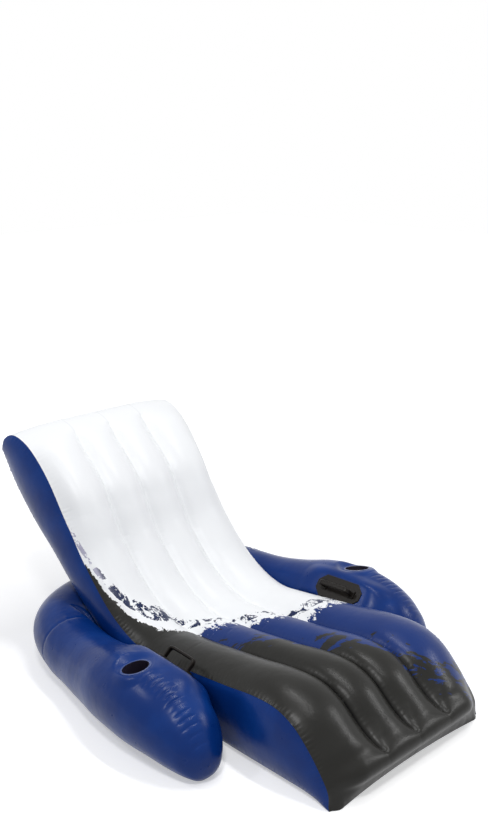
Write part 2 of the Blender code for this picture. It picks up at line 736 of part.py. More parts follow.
def arm_panel(name, rows, columns, outer, normals):
    """Panel between two rings, drawn back by half the weld gap at every edge."""
    surface = outer[rows[0]:rows[1] + 1, columns].copy()
    facing = normals[rows[0]:rows[1] + 1, columns]
    half_gap = SEAM_GAP / 2
    surface[0] = toward(surface[0], surface[1], half_gap)
    surface[-1] = toward(surface[-1], surface[-2], half_gap)
    edge_a = toward(surface[:, 0], surface[:, 1], half_gap)
    edge_b = toward(surface[:, -1], surface[:, -2], half_gap)
    surface[:, 0], surface[:, -1] = edge_a, edge_b
    inside = shell(surface, facing)
    inside[..., 2] = np.maximum(inside[..., 2], 0.0)
    floor = (surface[..., 2] <= 0) & (inside[..., 2] <= 0)
    inside[floor, 2] = SHEET_THICKNESS
    return sheet_solid(name, surface, inside, "blue")


def make_arms():
    outer, normals, seats, valve = arm_grids()
    last = len(outer) - 1
    outward = slice(0, HALF_RING + 1)
    inward = slice(HALF_RING, RING_END + 1)
    panels = {}
    for side, rows in (("right", (0, ARM_ROWS)), ("left", (last - ARM_ROWS, last))):
        panels["outer", side] = arm_panel(f"arm_outer_panel_{side}", rows, outward, outer, normals)
        panels["inner", side] = arm_panel(f"arm_inner_panel_{side}", rows, inward, outer, normals)
    rear = (ARM_ROWS, last - ARM_ROWS)
    panels["rear"] = arm_panel("bolster_rear_panel", rear, outward, outer, normals)
    panels["front"] = arm_panel("bolster_front_panel", rear, inward, outer, normals)
    return panels, seats, valve


def joining_strips():
    """Vinyl strips welded between the lounge and the arm tube, flat in the contact faces."""
    x = SIDE_CONTACT_X + SEAM_GAP + STRIP_THICKNESS / 2
    y = SIDE_STRIP_Y_SHARE * LOUNGE_LENGTH
    outline = rounded_rectangle(SIDE_STRIP_LENGTH, SIDE_STRIP_HEIGHT, SIDE_STRIP_HEIGHT / 4)
    half = STRIP_THICKNESS / 2
    sections = [at_height(outline, -half), at_height(outline, half)]
    for side, sign in (("right", 1), ("left", -1)):
        frame = place_frame((sign * x, y, SIDE_STRIP_Z), (sign, 0, 0), (0, 1, 0))
        lofted(f"joining_strip_{side}", sections, "web", frame)
    point, normal = contact_plane()
    along = np.array([-normal[1], normal[0]])
    along = along * math.copysign(1.0, along[1])
    middle = point + along * REAR_STRIP_RISE + normal * (SEAM_GAP + half)
    outline = rounded_rectangle(REAR_STRIP_WIDTH, REAR_STRIP_HEIGHT, REAR_STRIP_HEIGHT / 4)
    sections = [at_height(outline, -half), at_height(outline, half)]
    frame = place_frame((0, middle[0], middle[1]), (0, normal[0], normal[1]), (1, 0, 0))
    lofted("joining_strip_rear", sections, "web", frame)


def mirrored_seat(seat, sign):
    centre, normal, along = (np.array(v, dtype=float) for v in seat[:3])
    flip = np.array([sign, 1.0, 1.0])
    return place_frame(centre * flip, normal * flip, along * flip)


# Cup holders


def make_cup(side, frame, panels):
    wall_outer = CUP_RADIUS + CUP_WALL
    brim = SEAM_GAP + CUP_RIM_THICKNESS
    floor_outer = wall_outer - CUP_FLOOR_TAPER
    revolved(f"cup_well_{side}", [
        (0, -CUP_DEPTH), (floor_outer, -CUP_DEPTH), (wall_outer, brim), (CUP_RADIUS, brim),
        (CUP_RADIUS - CUP_FLOOR_TAPER, CUP_WALL - CUP_DEPTH), (0, CUP_WALL - CUP_DEPTH),
    ], ROUND_SEGMENTS, "cup", frame)
    inner = wall_outer + FIT_GAP
    edge = CUP_RIM_THICKNESS / 2
    revolved(f"cup_rim_{side}", [
        (inner, SEAM_GAP), (inner + CUP_RIM_WIDTH, SEAM_GAP),
        (inner + CUP_RIM_WIDTH, SEAM_GAP + edge), (inner + CUP_RIM_WIDTH - edge, brim),
        (inner, brim),
    ], ROUND_SEGMENTS, "rim", frame)
    hole = wall_outer + FIT_GAP
    cutter = revolved(f"cup_hole_{side}", [
        (0, -CUT_OVERRUN), (hole, -CUT_OVERRUN), (hole, CUT_OVERRUN), (0, CUT_OVERRUN),
    ], ROUND_SEGMENTS, "rim", frame)
    for kind in ("outer", "inner"):
        boolean(panels[kind, side], cutter, "DIFFERENCE")


# Grab handles


def grip_path():
    """Centreline of the bail in the (along, up) plane, from one foot to the other."""
    foot = SEAM_GAP + HANDLE_PLATE_THICKNESS + FIT_GAP
    x, top, corner = GRIP_SPAN / 2, GRIP_HEIGHT, GRIP_CORNER
    points = [(-x, foot, 90.0)]
    for k in range(GRIP_CORNER_STEPS + 1):
        turn = math.radians(180 - 90 * k / GRIP_CORNER_STEPS)
        points.append((-x + corner + corner * math.cos(turn), top - corner + corner * math.sin(turn),
                       math.degrees(turn) - 90))
    mirrored = [(-px, pz, -angle) for px, pz, angle in points[::-1]]
    return points + mirrored


def make_grip(name, frame):
    outline = rounded_rectangle(GRIP_WIDTH, GRIP_DEPTH, GRIP_DEPTH / 2 * GRIP_ROUND_SHARE)
    sections = []
    for x, z, angle in grip_path():
        turn = math.radians(angle)
        out = (-math.sin(turn), math.cos(turn))
        sections.append([(x + b * out[0], a, z + b * out[1]) for a, b in outline])
    return lofted(name, sections, "black", frame)


def make_handle(side, frame):
    base = SEAM_GAP
    full = octagon(HANDLE_PLATE_LENGTH, HANDLE_PLATE_WIDTH, HANDLE_PLATE_CHAMFER)
    small = octagon(HANDLE_PLATE_LENGTH - 2 * HANDLE_PLATE_EDGE,
                    HANDLE_PLATE_WIDTH - 2 * HANDLE_PLATE_EDGE, HANDLE_PLATE_CHAMFER)
    top = base + HANDLE_PLATE_THICKNESS
    plate = lofted(f"handle_base_{side}", [
        at_height(full, base), at_height(full, top - HANDLE_PLATE_EDGE), at_height(small, top),
    ], "black", frame)
    outline = rounded_rectangle(BOSS_LENGTH, BOSS_WIDTH, BOSS_CORNER)
    shoulder = rounded_rectangle(BOSS_LENGTH - 2 * HANDLE_PLATE_EDGE,
                                 BOSS_WIDTH - 2 * HANDLE_PLATE_EDGE, BOSS_CORNER)
    socket = rounded_rectangle(GRIP_DEPTH + 2 * FIT_GAP, GRIP_WIDTH + 2 * FIT_GAP,
                               GRIP_DEPTH / 2 * GRIP_ROUND_SHARE + FIT_GAP)
    for end, sign in (("front", -1), ("rear", 1)):
        here = frame @ Matrix.Translation((sign * GRIP_SPAN / 2, 0, 0))
        boss = lofted(f"boss_{end}_{side}", [
            at_height(outline, base + HANDLE_PLATE_THICKNESS / 2),
            at_height(outline, top + BOSS_HEIGHT - HANDLE_PLATE_EDGE),
            at_height(shoulder, top + BOSS_HEIGHT),
        ], "black", here)
        boolean(plate, boss, "UNION")
        hole = lofted(f"socket_{end}_{side}", [
            at_height(socket, top), at_height(socket, top + 2 * BOSS_HEIGHT),
        ], "black", here)
        boolean(plate, hole, "DIFFERENCE")
    make_grip(f"handle_grip_{side}", frame)


# Air valves


def make_tether(name, frame):
    """Ring round the flange's collar with a strap looping out and up to the plug's head."""
    base = SEAM_GAP + VALVE_FLANGE_THICKNESS + FIT_GAP
    inner = STEM_RADIUS + FIT_GAP + VALVE_COLLAR_WALL + FIT_GAP
    outer = inner + TETHER_RING_WALL
    ring = revolved(name, [
        (inner, base), (outer, base), (outer, base + TETHER_THICKNESS),
        (inner, base + TETHER_THICKNESS),
    ], SMALL_SEGMENTS, "clear", frame)
    low = base + TETHER_THICKNESS / 2
    high = SEAM_GAP + STEM_OUT + FIT_GAP + PLUG_HEAD_THICKNESS / 2
    start, end = (inner + outer) / 2, PLUG_HEAD_RADIUS + FIT_GAP
    rise = (high - low) / 2
    middle = outer + TETHER_LOOP_OUT - rise
    path = [(-start, low, 180.0)]
    for k in range(TETHER_STEPS + 1):
        angle = -90 + 180 * k / TETHER_STEPS
        turn = math.radians(angle)
        path.append((-middle - rise * math.cos(turn), low + rise + rise * math.sin(turn),
                     90 - angle))
    path.append((-end, high, 0.0))
    sections = []
    for x, z, angle in path:
        turn = math.radians(angle)
        across = (-math.sin(turn), math.cos(turn))
        corners = ((-1, -1), (1, -1), (1, 1), (-1, 1))
        sections.append([
            (x + b * TETHER_THICKNESS / 2 * across[0], a * TETHER_WIDTH / 2,
             z + b * TETHER_THICKNESS / 2 * across[1]) for a, b in corners])
    strap = lofted(name + "_strap", sections, "clear", frame)
    boolean(ring, strap, "UNION")


def make_valve(label, frame, sheet):
    bore = STEM_RADIUS + FIT_GAP
    collar = bore + VALVE_COLLAR_WALL
    top, flange_top = SEAM_GAP + VALVE_COLLAR_HEIGHT, SEAM_GAP + VALVE_FLANGE_THICKNESS
    revolved(f"{label}_valve_flange", [
        (bore, -VALVE_COLLAR_DEPTH), (collar, -VALVE_COLLAR_DEPTH), (collar, SEAM_GAP),
        (VALVE_FLANGE_RADIUS, SEAM_GAP), (VALVE_FLANGE_RADIUS, flange_top), (collar, flange_top),
        (collar, top), (bore, top),
    ], SMALL_SEGMENTS, "clear", frame)
    cutter = revolved(f"{label}_valve_hole", [
        (0, -CUT_OVERRUN / 2), (collar + FIT_GAP, -CUT_OVERRUN / 2),
        (collar + FIT_GAP, CUT_OVERRUN / 2), (0, CUT_OVERRUN / 2),
    ], SMALL_SEGMENTS, "clear", frame)
    boolean(sheet, cutter, "DIFFERENCE")
    lip = SEAM_GAP + STEM_OUT
    barb = -VALVE_COLLAR_DEPTH - FIT_GAP
    revolved(f"{label}_valve_stem", [
        (STEM_BORE, -STEM_IN), (STEM_RADIUS, -STEM_IN), (STEM_BARB_RADIUS, barb - STEM_BARB_THICKNESS),
        (STEM_BARB_RADIUS, barb), (STEM_RADIUS, barb), (STEM_RADIUS, lip - STEM_LIP_THICKNESS),
        (STEM_LIP_RADIUS, lip - STEM_LIP_THICKNESS), (STEM_LIP_RADIUS, lip), (STEM_BORE, lip),
    ], SMALL_SEGMENTS, "clear", frame)
    head = lip + FIT_GAP
    crown = head + PLUG_HEAD_THICKNESS
    skirt = STEM_BORE - FIT_GAP
    hollow = skirt - PLUG_SKIRT_WALL
    tip = head - PLUG_SKIRT_LENGTH
    plug = revolved(f"{label}_valve_plug", [
        (0, head), (hollow, head), (hollow, tip), (skirt - PLUG_EDGE, tip), (skirt, tip + PLUG_EDGE),
        (skirt, head), (PLUG_HEAD_RADIUS, head), (PLUG_HEAD_RADIUS, crown - PLUG_EDGE),
        (PLUG_HEAD_RADIUS - PLUG_EDGE, crown), (0, crown),
    ], SMALL_SEGMENTS, "clear", frame)
    outline = rounded_rectangle(2 * PLUG_TAB_LENGTH, PLUG_TAB_WIDTH, PLUG_TAB_WIDTH / 4)
    half = PLUG_TAB_THICKNESS / 2
    level = head + PLUG_HEAD_THICKNESS / 2
    tab = lofted(f"{label}_plug_tab", [at_height(outline, level - half), at_height(outline, level + half)],
                 "clear", frame @ Matrix.Translation((PLUG_HEAD_RADIUS, 0, 0)))
    boolean(plug, tab, "UNION")
    flap_top = -STEM_IN - FIT_GAP
    flap = revolved(f"{label}_check_flap", [
        (0, flap_top - FLAP_THICKNESS), (FLAP_RADIUS, flap_top - FLAP_THICKNESS),
        (FLAP_RADIUS, flap_top), (0, flap_top),
    ], SMALL_SEGMENTS, "black", frame)
    outline = rounded_rectangle(2 * (FLAP_TAB_REACH - FLAP_RADIUS), FLAP_TAB_WIDTH, FLAP_TAB_WIDTH / 6)
    level = flap_top - FLAP_THICKNESS / 2
    half = FLAP_THICKNESS / 2
    hinge = lofted(f"{label}_flap_tab", [at_height(outline, level - half), at_height(outline, level + half)],
                   "black", frame @ Matrix.Translation((FLAP_RADIUS, 0, 0)))
    boolean(flap, hinge, "UNION")
    make_tether(f"{label}_valve_tether", frame)


def main():
    clear_scene()
    bottom, lounge_seat = make_lounge()
    panels, arm_seat, arm_valve_seat = make_arms()
    joining_strips()
    cup_seat, handle_seat = arm_seat
    for side, sign in (("right", 1.0), ("left", -1.0)):
        make_cup(side, mirrored_seat(cup_seat, sign), panels)
        make_handle(side, mirrored_seat(handle_seat, sign))
    make_valve("lounge", place_frame(*lounge_seat), bottom)
    make_valve("arm", place_frame(*arm_valve_seat), panels["rear"])


main()
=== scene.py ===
import json
import math
import bpy
import bmesh
import numpy as np
from mathutils import Matrix, Vector, noise


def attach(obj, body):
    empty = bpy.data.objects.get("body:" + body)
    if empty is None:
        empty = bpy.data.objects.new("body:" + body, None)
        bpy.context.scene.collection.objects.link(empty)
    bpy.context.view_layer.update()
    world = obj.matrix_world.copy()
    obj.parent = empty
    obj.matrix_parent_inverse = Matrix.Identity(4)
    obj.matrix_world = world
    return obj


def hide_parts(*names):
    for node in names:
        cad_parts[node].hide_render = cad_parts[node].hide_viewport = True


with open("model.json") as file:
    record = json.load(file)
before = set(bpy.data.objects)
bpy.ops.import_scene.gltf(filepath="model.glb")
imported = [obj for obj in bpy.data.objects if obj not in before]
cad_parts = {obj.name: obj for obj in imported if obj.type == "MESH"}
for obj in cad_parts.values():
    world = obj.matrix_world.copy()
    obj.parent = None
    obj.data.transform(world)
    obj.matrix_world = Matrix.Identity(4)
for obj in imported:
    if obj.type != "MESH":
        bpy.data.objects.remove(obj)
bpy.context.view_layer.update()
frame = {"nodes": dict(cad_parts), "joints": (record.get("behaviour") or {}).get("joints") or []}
nodes = frame["nodes"]

# Sizes and tables, as in the part's source: side curves of the lounge from foot to head as shares of
# length and height, half widths, how far it swells, how free its sides are, and the arm tube's path
LENGTH, HEIGHT, HALF_WIDTH = 1.76, 0.85, 0.405
MIDDLE = 0.4975
SEAM_X = 0.166
REACH, RADIUS = 0.546, 0.155
SHEET = 0.00046
SIDE_X = 0.398
UPPER = ((0.000, 0.000), (-0.002, 0.052), (-0.004, 0.110), (0.029, 0.149), (0.065, 0.200),
         (0.108, 0.273), (0.153, 0.311), (0.210, 0.314), (0.284, 0.292), (0.375, 0.268),
         (0.466, 0.245), (0.540, 0.236), (0.602, 0.271), (0.659, 0.341), (0.710, 0.441),
         (0.750, 0.544), (0.780, 0.665), (0.807, 0.771), (0.852, 0.871), (0.909, 0.965),
         (0.955, 0.998), (0.986, 0.982), (1.000, 0.941))
LOWER = ((0.000, 0.000), (0.026, 0.007), (0.051, 0.016), (0.080, 0.021), (0.114, 0.021),
         (0.153, 0.021), (0.193, 0.021), (0.239, 0.021), (0.301, 0.021), (0.375, 0.021),
         (0.455, 0.021), (0.528, 0.029), (0.597, 0.088), (0.670, 0.182), (0.739, 0.285),
         (0.801, 0.392), (0.855, 0.500), (0.907, 0.594), (0.949, 0.688), (0.980, 0.776),
         (0.998, 0.853), (1.005, 0.900), (1.000, 0.941))
WIDTH = (1.000, 0.993, 0.988, 0.983, 0.980, 0.978, 0.976, 0.974, 0.967, 0.957, 0.948, 0.940,
         0.932, 0.925, 0.919, 0.915, 0.914, 0.916, 0.921, 0.928, 0.938, 0.951, 0.958)
SWELL = (0.0, 0.25, 0.60, 0.95, 1.0, 1.0, 1.0, 1.0, 1.0, 1.0, 1.0, 1.0,
         1.0, 1.0, 1.0, 1.0, 1.0, 1.0, 1.0, 0.95, 0.75, 0.40, 0.0)
SIDE_FREE = (1.0, 1.0, 1.0, 1.0, 1.0, 1.0, 1.0, 0.7, 0.15, 0.0, 0.0, 0.0,
             0.0, 0.0, 0.0, 0.3, 0.8, 1.0, 1.0, 1.0, 1.0, 1.0, 1.0)
ARM = ((1.062, 0.2200, 0.010, 0.480), (1.060, 0.2232, 0.240, 0.480), (1.054, 0.2330, 0.430, 0.490),
       (1.044, 0.2540, 0.625, 0.630), (1.028, 0.2890, 0.800, 0.790), (1.013, 0.3410, 0.930, 0.915),
       (1.000, 0.4150, 1.000, 0.981), (0.978, 0.4950, 0.960, 0.941), (0.942, 0.5750, 0.850, 0.831),
       (0.898, 0.6500, 0.795, 0.776), (0.850, 0.7220, 0.810, 0.791),
       (0.745, 0.7930, 0.860, 0.841), (0.550, 0.8240, 0.910, 0.891), (0.280, 0.8230, 0.960, 0.941),
       (0.000, 0.8200, 0.970, 0.951))
MITRE = 10.0
SEAM_FRONT, SEAM_HEAD = 2.25, 19.1
LAST = len(UPPER) - 1
CUP_PLACE, CUP_SINK, CUP_SEAT, CUP_LEAN_DEG, CUP_TILT_DEG = 6.1, 0.012, 0.057, 82.0, 11.0
CUP_HOLE = 0.0478 + 0.0005
HANDLE_PLACE, HANDLE_SINK, HANDLE_SEAT, HANDLE_DEG = 5.97, 0.0035, (0.110, 0.051), 139.0

# Choices of this scene: the drawn sheet's thickness, the arm's crest, and how far the hole cutters reach
DRAWN_SHEET = 0.0006
CREST_DEG = 77.0
CUT_REACH = 0.020


def curve(table, place):
    """Catmull-Rom value of a table at an array of fractional indices."""
    rows = np.asarray(table, float)
    flat = rows.ndim == 1
    if flat:
        rows = rows[:, None]
    last = len(rows) - 1
    place = np.asarray(place, float)
    low = np.clip(np.floor(place).astype(int), 0, last - 1)
    t = (place - low)[..., None]
    padded = np.concatenate([2 * rows[:1] - rows[1:2], rows, 2 * rows[-1:] - rows[-2:-1]])
    a, b, c, d = padded[low], padded[low + 1], padded[low + 2], padded[low + 3]
    out = 0.5 * (2 * b + (c - a) * t + (2 * a - 5 * b + 4 * c - d) * t ** 2
                 + (3 * b - a - 3 * c + d) * t ** 3)
    return out[..., 0] if flat else out


def smooth(x):
    x = np.clip(x, 0.0, 1.0)
    return x * x * (3 - 2 * x)


def upper(place):
    p = curve(UPPER, place)
    return np.stack([(p[..., 0] - MIDDLE) * LENGTH, p[..., 1] * HEIGHT], -1)


def lower(place):
    p = curve(LOWER, place)
    return np.stack([(p[..., 0] - MIDDLE) * LENGTH, p[..., 1] * HEIGHT], -1)


def normal2(point, place, sign):
    a, b = point(np.clip(place - 0.2, 0, LAST)), point(np.clip(place + 0.2, 0, LAST))
    along = b - a
    along /= np.linalg.norm(along, axis=-1, keepdims=True)
    return np.stack([-along[..., 1], along[..., 0]], -1) * sign


def back_plane():
    low, high = lower(np.array(13.0)), lower(np.array(16.0))
    along = (high - low) / np.linalg.norm(high - low)
    n = np.array([along[1], -along[0]])
    return low + n * 0.020, n


PLANE_POINT, PLANE_NORMAL = back_plane()


def ripple(u, v, seed, scale):
    """Smooth random field, the same on every run."""
    u, v = np.broadcast_arrays(u, v)
    out = np.empty(u.shape)
    flat = out.ravel()
    for i, (a, b) in enumerate(zip(u.ravel(), v.ravel())):
        flat[i] = noise.noise((a / scale, b / scale, seed))
    return out


def arc(t, chord, rise):
    """Height of a circular arc over its chord at share t, both ends at nothing."""
    r = (chord * chord / 4 + rise * rise) / (2 * rise)
    return np.sqrt(np.maximum(r * r - ((t - 0.5) * chord) ** 2, 0)) - (r - rise)


def even_places(count):
    """Places along the lounge at even steps along the top sheet."""
    fine = np.linspace(0, LAST, 1200)
    p = upper(fine)
    run = np.concatenate([[0], np.cumsum(np.linalg.norm(np.diff(p, axis=0), axis=1))])
    return np.interp(np.linspace(0, run[-1], count), run, fine), np.linspace(0, run[-1], count)


ROWS = 460
PLACES, RUN = even_places(ROWS)
SEAM_RUN = np.interp([SEAM_FRONT, SEAM_HEAD], PLACES, RUN)


def across_places(segments, half_width):
    """Across the lounge, closest beside the seams: (x, share in its channel, chord)."""
    edges = np.stack([-half_width, np.full_like(half_width, -SEAM_X), np.zeros_like(half_width),
                      np.full_like(half_width, SEAM_X), half_width], -1)
    xs, shares, chords = [], [], []
    for k in range(4):
        for j in range(segments):
            share = 0.5 - 0.5 * math.cos(math.pi * j / segments)
            xs.append(edges[:, k] + (edges[:, k + 1] - edges[:, k]) * share)
            shares.append(share)
            chords.append(edges[:, k + 1] - edges[:, k])
    xs.append(edges[:, 4])
    shares.append(1.0)
    chords.append(edges[:, 4] - edges[:, 3])
    return np.stack(xs, 1), np.array(shares), np.stack(chords, 1)


def gathers(run, seed, pitch):
    """Narrow folds one after another along a weld, uneven in pitch and height."""
    wander = np.array([noise.noise((float(r) / (3.1 * pitch), seed, 0.0)) for r in run])
    height = np.array([noise.noise((float(r) / (1.7 * pitch), seed, 7.0)) for r in run])
    wave = 0.5 + 0.5 * np.cos(2 * math.pi * (run / pitch + 0.55 * wander))
    return wave ** 4 * np.clip(0.75 + 1.5 * height, 0.05, 1.6) - 0.2


def dashes(run, seed, pitch):
    """A row of small bulges with a sharp nick between each two."""
    wander = np.array([noise.noise((float(r) / (3.1 * pitch), seed, 0.0)) for r in run])
    height = np.array([noise.noise((float(r) / (1.4 * pitch), seed, 7.0)) for r in run])
    at = (run / pitch + 0.35 * wander) % 1.0
    bulge = 0.16 * np.cos(2 * math.pi * at) - np.exp(-((at - 0.5) / 0.15) ** 2)
    return bulge * np.clip(0.95 + 0.9 * height, 0.35, 1.4)


def corner_relief(x, half):
    """How far the front corners lean back from the upright band, as (y, z)."""
    share = np.maximum(curve((0.0, 0.45, 1.0, 0.50, 0.10) + (0.0,) * 18, PLACES), 0)[:, None]
    back = 0.050 * smooth((np.abs(x) / half[:, None] - 0.70) / 0.30) * share
    return np.stack([back, -0.35 * back], -1)


def lounge_sheet(top, segments):
    """One face of the lounge as a grid: its seam profile, blown out between its seams."""
    place = PLACES
    half = curve(WIDTH, place) * HALF_WIDTH
    x, t, chord = across_places(segments, half)
    base = upper(place) if top else lower(place)
    out = normal2(upper, place, 1.0) if top else normal2(lower, place, -1.0)
    swell = np.clip(curve(SWELL, place), 0, 1)[:, None]
    run = RUN[:, None]
    pull = smooth((run - SEAM_RUN[0] + 0.050) / 0.150) * smooth((SEAM_RUN[1] + 0.030 - run) / 0.120)
    pull = pull * (1 - 0.32 * smooth((0.62 - run) / 0.30))
    rise_share = 0.205 if top else 0.12
    channel = arc(t[None, :], chord, rise_share * chord)
    if top:
        # the welds of the back lie in soft valleys
        soft = 0.008 * smooth((run - 0.75) / 0.35) * smooth((half[:, None] - np.abs(x)) / 0.06)
        channel = np.sqrt(channel ** 2 + soft ** 2)
    pillow = (0.17 if top else 0.10) * SEAM_X * (1 - (x / half[:, None]) ** 4)
    lift = swell * (pull * channel + (1 - pull) * pillow)
    if top:
        lift += seam_detail(x, run, half[:, None], swell)
        round_side = smooth((np.abs(x) / half[:, None] - 0.80) / 0.20) ** 2
        lift -= 0.028 * np.exp(-((place - 16.8) / 1.2) ** 2)[:, None] * round_side
    point = base[:, None, :] + out[:, None, :] * lift[..., None]
    if top:
        point = point + corner_relief(x, half)
    else:
        beyond = (point - PLANE_POINT) @ PLANE_NORMAL
        point = point - np.maximum(beyond, 0)[..., None] * PLANE_NORMAL
    middle = 1 - (x / half[:, None]) ** 2
    front = 0.024 * np.maximum(1 - place / 2, 0)[:, None]
    head = 0.018 * np.maximum(1 - (LAST - place) / 2, 0)[:, None]
    y = point[..., 0] + middle * (front - head)
    y = y + 0.022 * smooth((np.abs(x) / half[:, None] - 0.88) / 0.12) ** 2 * np.exp(-(run / 0.050) ** 2)
    z = np.maximum(point[..., 1], 0.0)
    return np.stack([x, y, z], -1)


def seam_detail(x, run, half, swell):
    """The welds' thin creases, and the short gathers they draw into the sheet."""
    total = np.zeros(np.broadcast(x, run).shape)
    on = smooth((run - SEAM_RUN[0]) / 0.010) * smooth((SEAM_RUN[1] - run) / 0.010)
    faint = 1 - 0.90 * smooth((run - 0.75) / 0.35)
    for seed, centre in enumerate((-SEAM_X, 0.0, SEAM_X)):
        # each weld ends in a small hook toward the right
        off = 0.012 * np.exp(-np.maximum(run - SEAM_RUN[0], 0) / 0.008)
        d = np.abs(x - centre - off)
        total -= on * (faint * 0.0070 * np.exp(-(d / 0.0036) ** 2) + 0.0035 * np.exp(-(d / 0.014) ** 2))
        fold = gathers(run[:, 0] + 0.013 * seed, 3.0 + seed, 0.019)[:, None]
        total += on * 0.0010 * fold * np.exp(-((d - 0.006) / 0.011) ** 2)
    # the fold over the front band
    ridge = RUN[int(np.argmin(np.abs(PLACES - 1.95)))]
    wide = smooth((half - np.abs(x)) / 0.07)
    total += 0.0040 * np.exp(-((run - ridge - 0.014) / 0.030) ** 2) * wide
    uneven = 0.55 + 0.45 * smooth((np.abs(x + 0.05) - 0.05) / 0.25)
    total -= 0.0024 * uneven * np.exp(-((run - ridge + 0.030) / 0.018) ** 2) * wide
    # gathers along the side welds and along the front weld
    for sign in (-1, 1):
        d = np.maximum(half - sign * x, 0.0)
        fold = gathers(RUN, 11.0 + sign, 0.017)[:, None]
        total += 0.0034 * fold * np.exp(-(d / 0.016) ** 2) * (1 - np.exp(-d / 0.002)) * swell
    across = gathers(x[0], 17.0, 0.026)[None, :]
    corner = 0.35 + 0.65 * smooth((np.abs(x) - 0.24) / 0.14)
    total += 0.0042 * across * corner * np.exp(-((run - 0.012) / 0.030) ** 2) * smooth(run / 0.008)
    return total


def lounge_side(sign, top, bottom, segments):
    """Side panel between the edges of the two sheets, bowed out."""
    a = top[:, -1 if sign > 0 else 0]
    b = bottom[:, -1 if sign > 0 else 0]
    height = np.linalg.norm(a - b, axis=1)[:, None]
    t = np.linspace(0, 1, segments + 1)[None, :]
    place = a[:, None, :] + (b - a)[:, None, :] * t[..., None]
    bow = arc(t, np.maximum(height, 1e-4), 0.13 * np.maximum(height, 1e-4))
    free = np.clip(curve(SIDE_FREE, PLACES), 0, 1)[:, None]
    limit = np.maximum(SIDE_X, np.abs(a[:, None, 0])) + free * bow
    d, e = t * height, (1 - t) * height
    folds = gathers(RUN, 11.0 + sign, 0.017)[:, None] * np.exp(-(d / 0.017) ** 2) * (1 - np.exp(-d / 0.002))
    lows = gathers(RUN, 31.0 + sign, 0.021)[:, None] * np.exp(-(e / 0.020) ** 2) * (1 - np.exp(-e / 0.002))
    folds = 0.0034 * (folds + lows) * smooth(height / 0.05) * (0.25 + 0.75 * free)
    x = np.minimum(np.abs(place[..., 0]) + bow, limit) + folds
    place[..., 0] = sign * np.minimum(x, limit + 0.0022 * free)
    return place


# Arm tube


def arm_station(place):
    mirrored = ARM + tuple((-a, b, c, d) for a, b, c, d in ARM[-2::-1])
    p = curve(mirrored, place)
    step = curve(mirrored, place + 0.1) - curve(mirrored, np.maximum(place - 0.1, 0))
    along = np.stack([step[..., 0] * REACH, step[..., 1] * LENGTH, 0 * step[..., 0]], -1)
    along /= np.linalg.norm(along, axis=-1, keepdims=True)
    across = np.stack([along[..., 1], -along[..., 0], 0 * along[..., 0]], -1)
    centre = np.stack([p[..., 0] * REACH, (p[..., 1] - MIDDLE) * LENGTH, p[..., 3] * RADIUS], -1)
    return centre, across, along, p[..., 2] * RADIUS


def direction(across, degrees):
    a = np.radians(degrees)
    up = np.array([0.0, 0.0, 1.0])
    return across * np.cos(a)[..., None] + up * np.sin(a)[..., None]


def arm_seats():
    """Flat places under a cup rim and a handle plate: middle, normal, direction along, half sizes."""
    centre, across, along, radius = arm_station(np.array(CUP_PLACE))
    seat = centre + direction(across, np.array(CREST_DEG)) * (radius - CUP_SINK)
    lean = math.radians(CUP_TILT_DEG)
    n = direction(across, np.array(CUP_LEAN_DEG)) * math.cos(lean) + along * math.sin(lean)
    cup = (seat, n, along, CUP_SEAT, CUP_SEAT)
    centre, across, along, radius = arm_station(np.array(HANDLE_PLACE))
    n = direction(across, np.array(HANDLE_DEG))
    return cup, (centre + n * (radius - HANDLE_SINK), n, along, *HANDLE_SEAT)


SEATS = arm_seats()


def seat_matrix(seat, sign):
    flip = Vector((sign, 1, 1))
    z = (Vector(seat[1]) * flip).normalized()
    x = Vector(seat[2]) * flip
    x = (x - z * x.dot(z)).normalized()
    y = z.cross(x)
    c = Vector(seat[0]) * flip
    return Matrix(((x.x, y.x, z.x, c.x), (x.y, y.y, z.y, c.y), (x.z, y.z, z.z, c.z), (0, 0, 0, 1)))


def press(points):
    """Flatten the tube under the cup rims and the handle plates."""
    for centre, n, along, half_length, half_width in SEATS[::-1]:
        a = along - n * float(along @ n)
        a /= np.linalg.norm(a)
        side = np.cross(n, a)
        off = points - centre
        height = off @ n
        power = 2.0 if half_length == half_width else 5.0
        reach = (np.abs(off @ a) / half_length) ** power + (np.abs(off @ side) / half_width) ** power
        reach = reach ** (1 / power)
        beyond = 0.60 if half_length == half_width else 0.9
        fade = smooth((1 + beyond - reach) / beyond) * (height > -half_length)
        points = points - (height * fade)[..., None] * n
    return points


def clear_of_lounge(p):
    """Push points of the arm tube out of the lounge's side face and back face, softly in the corner."""
    between = SHEET + DRAWN_SHEET
    sign = np.where(p[..., 0] < 0, -1.0, 1.0)
    x, y, z = np.abs(p[..., 0]), p[..., 1].copy(), p[..., 2].copy()
    k = 0.055
    for _ in range(8):
        a = SIDE_X + between - x
        b = between - ((y - PLANE_POINT[0]) * PLANE_NORMAL[0] + (z - PLANE_POINT[1]) * PLANE_NORMAL[1])
        near = np.maximum(k - np.abs(a - b), 0)
        depth = np.maximum(np.minimum(a, b) + near * near / (4 * k), 0)
        share = np.clip((b - a) / (2 * k) + 0.5, 0, 1)
        size = share ** 2 + (1 - share) ** 2
        x = x + depth * share / size
        y = y + PLANE_NORMAL[0] * depth * (1 - share) / size
        z = z + PLANE_NORMAL[1] * depth * (1 - share) / size
    return np.stack([x * sign, y, np.maximum(z, 0)], -1)


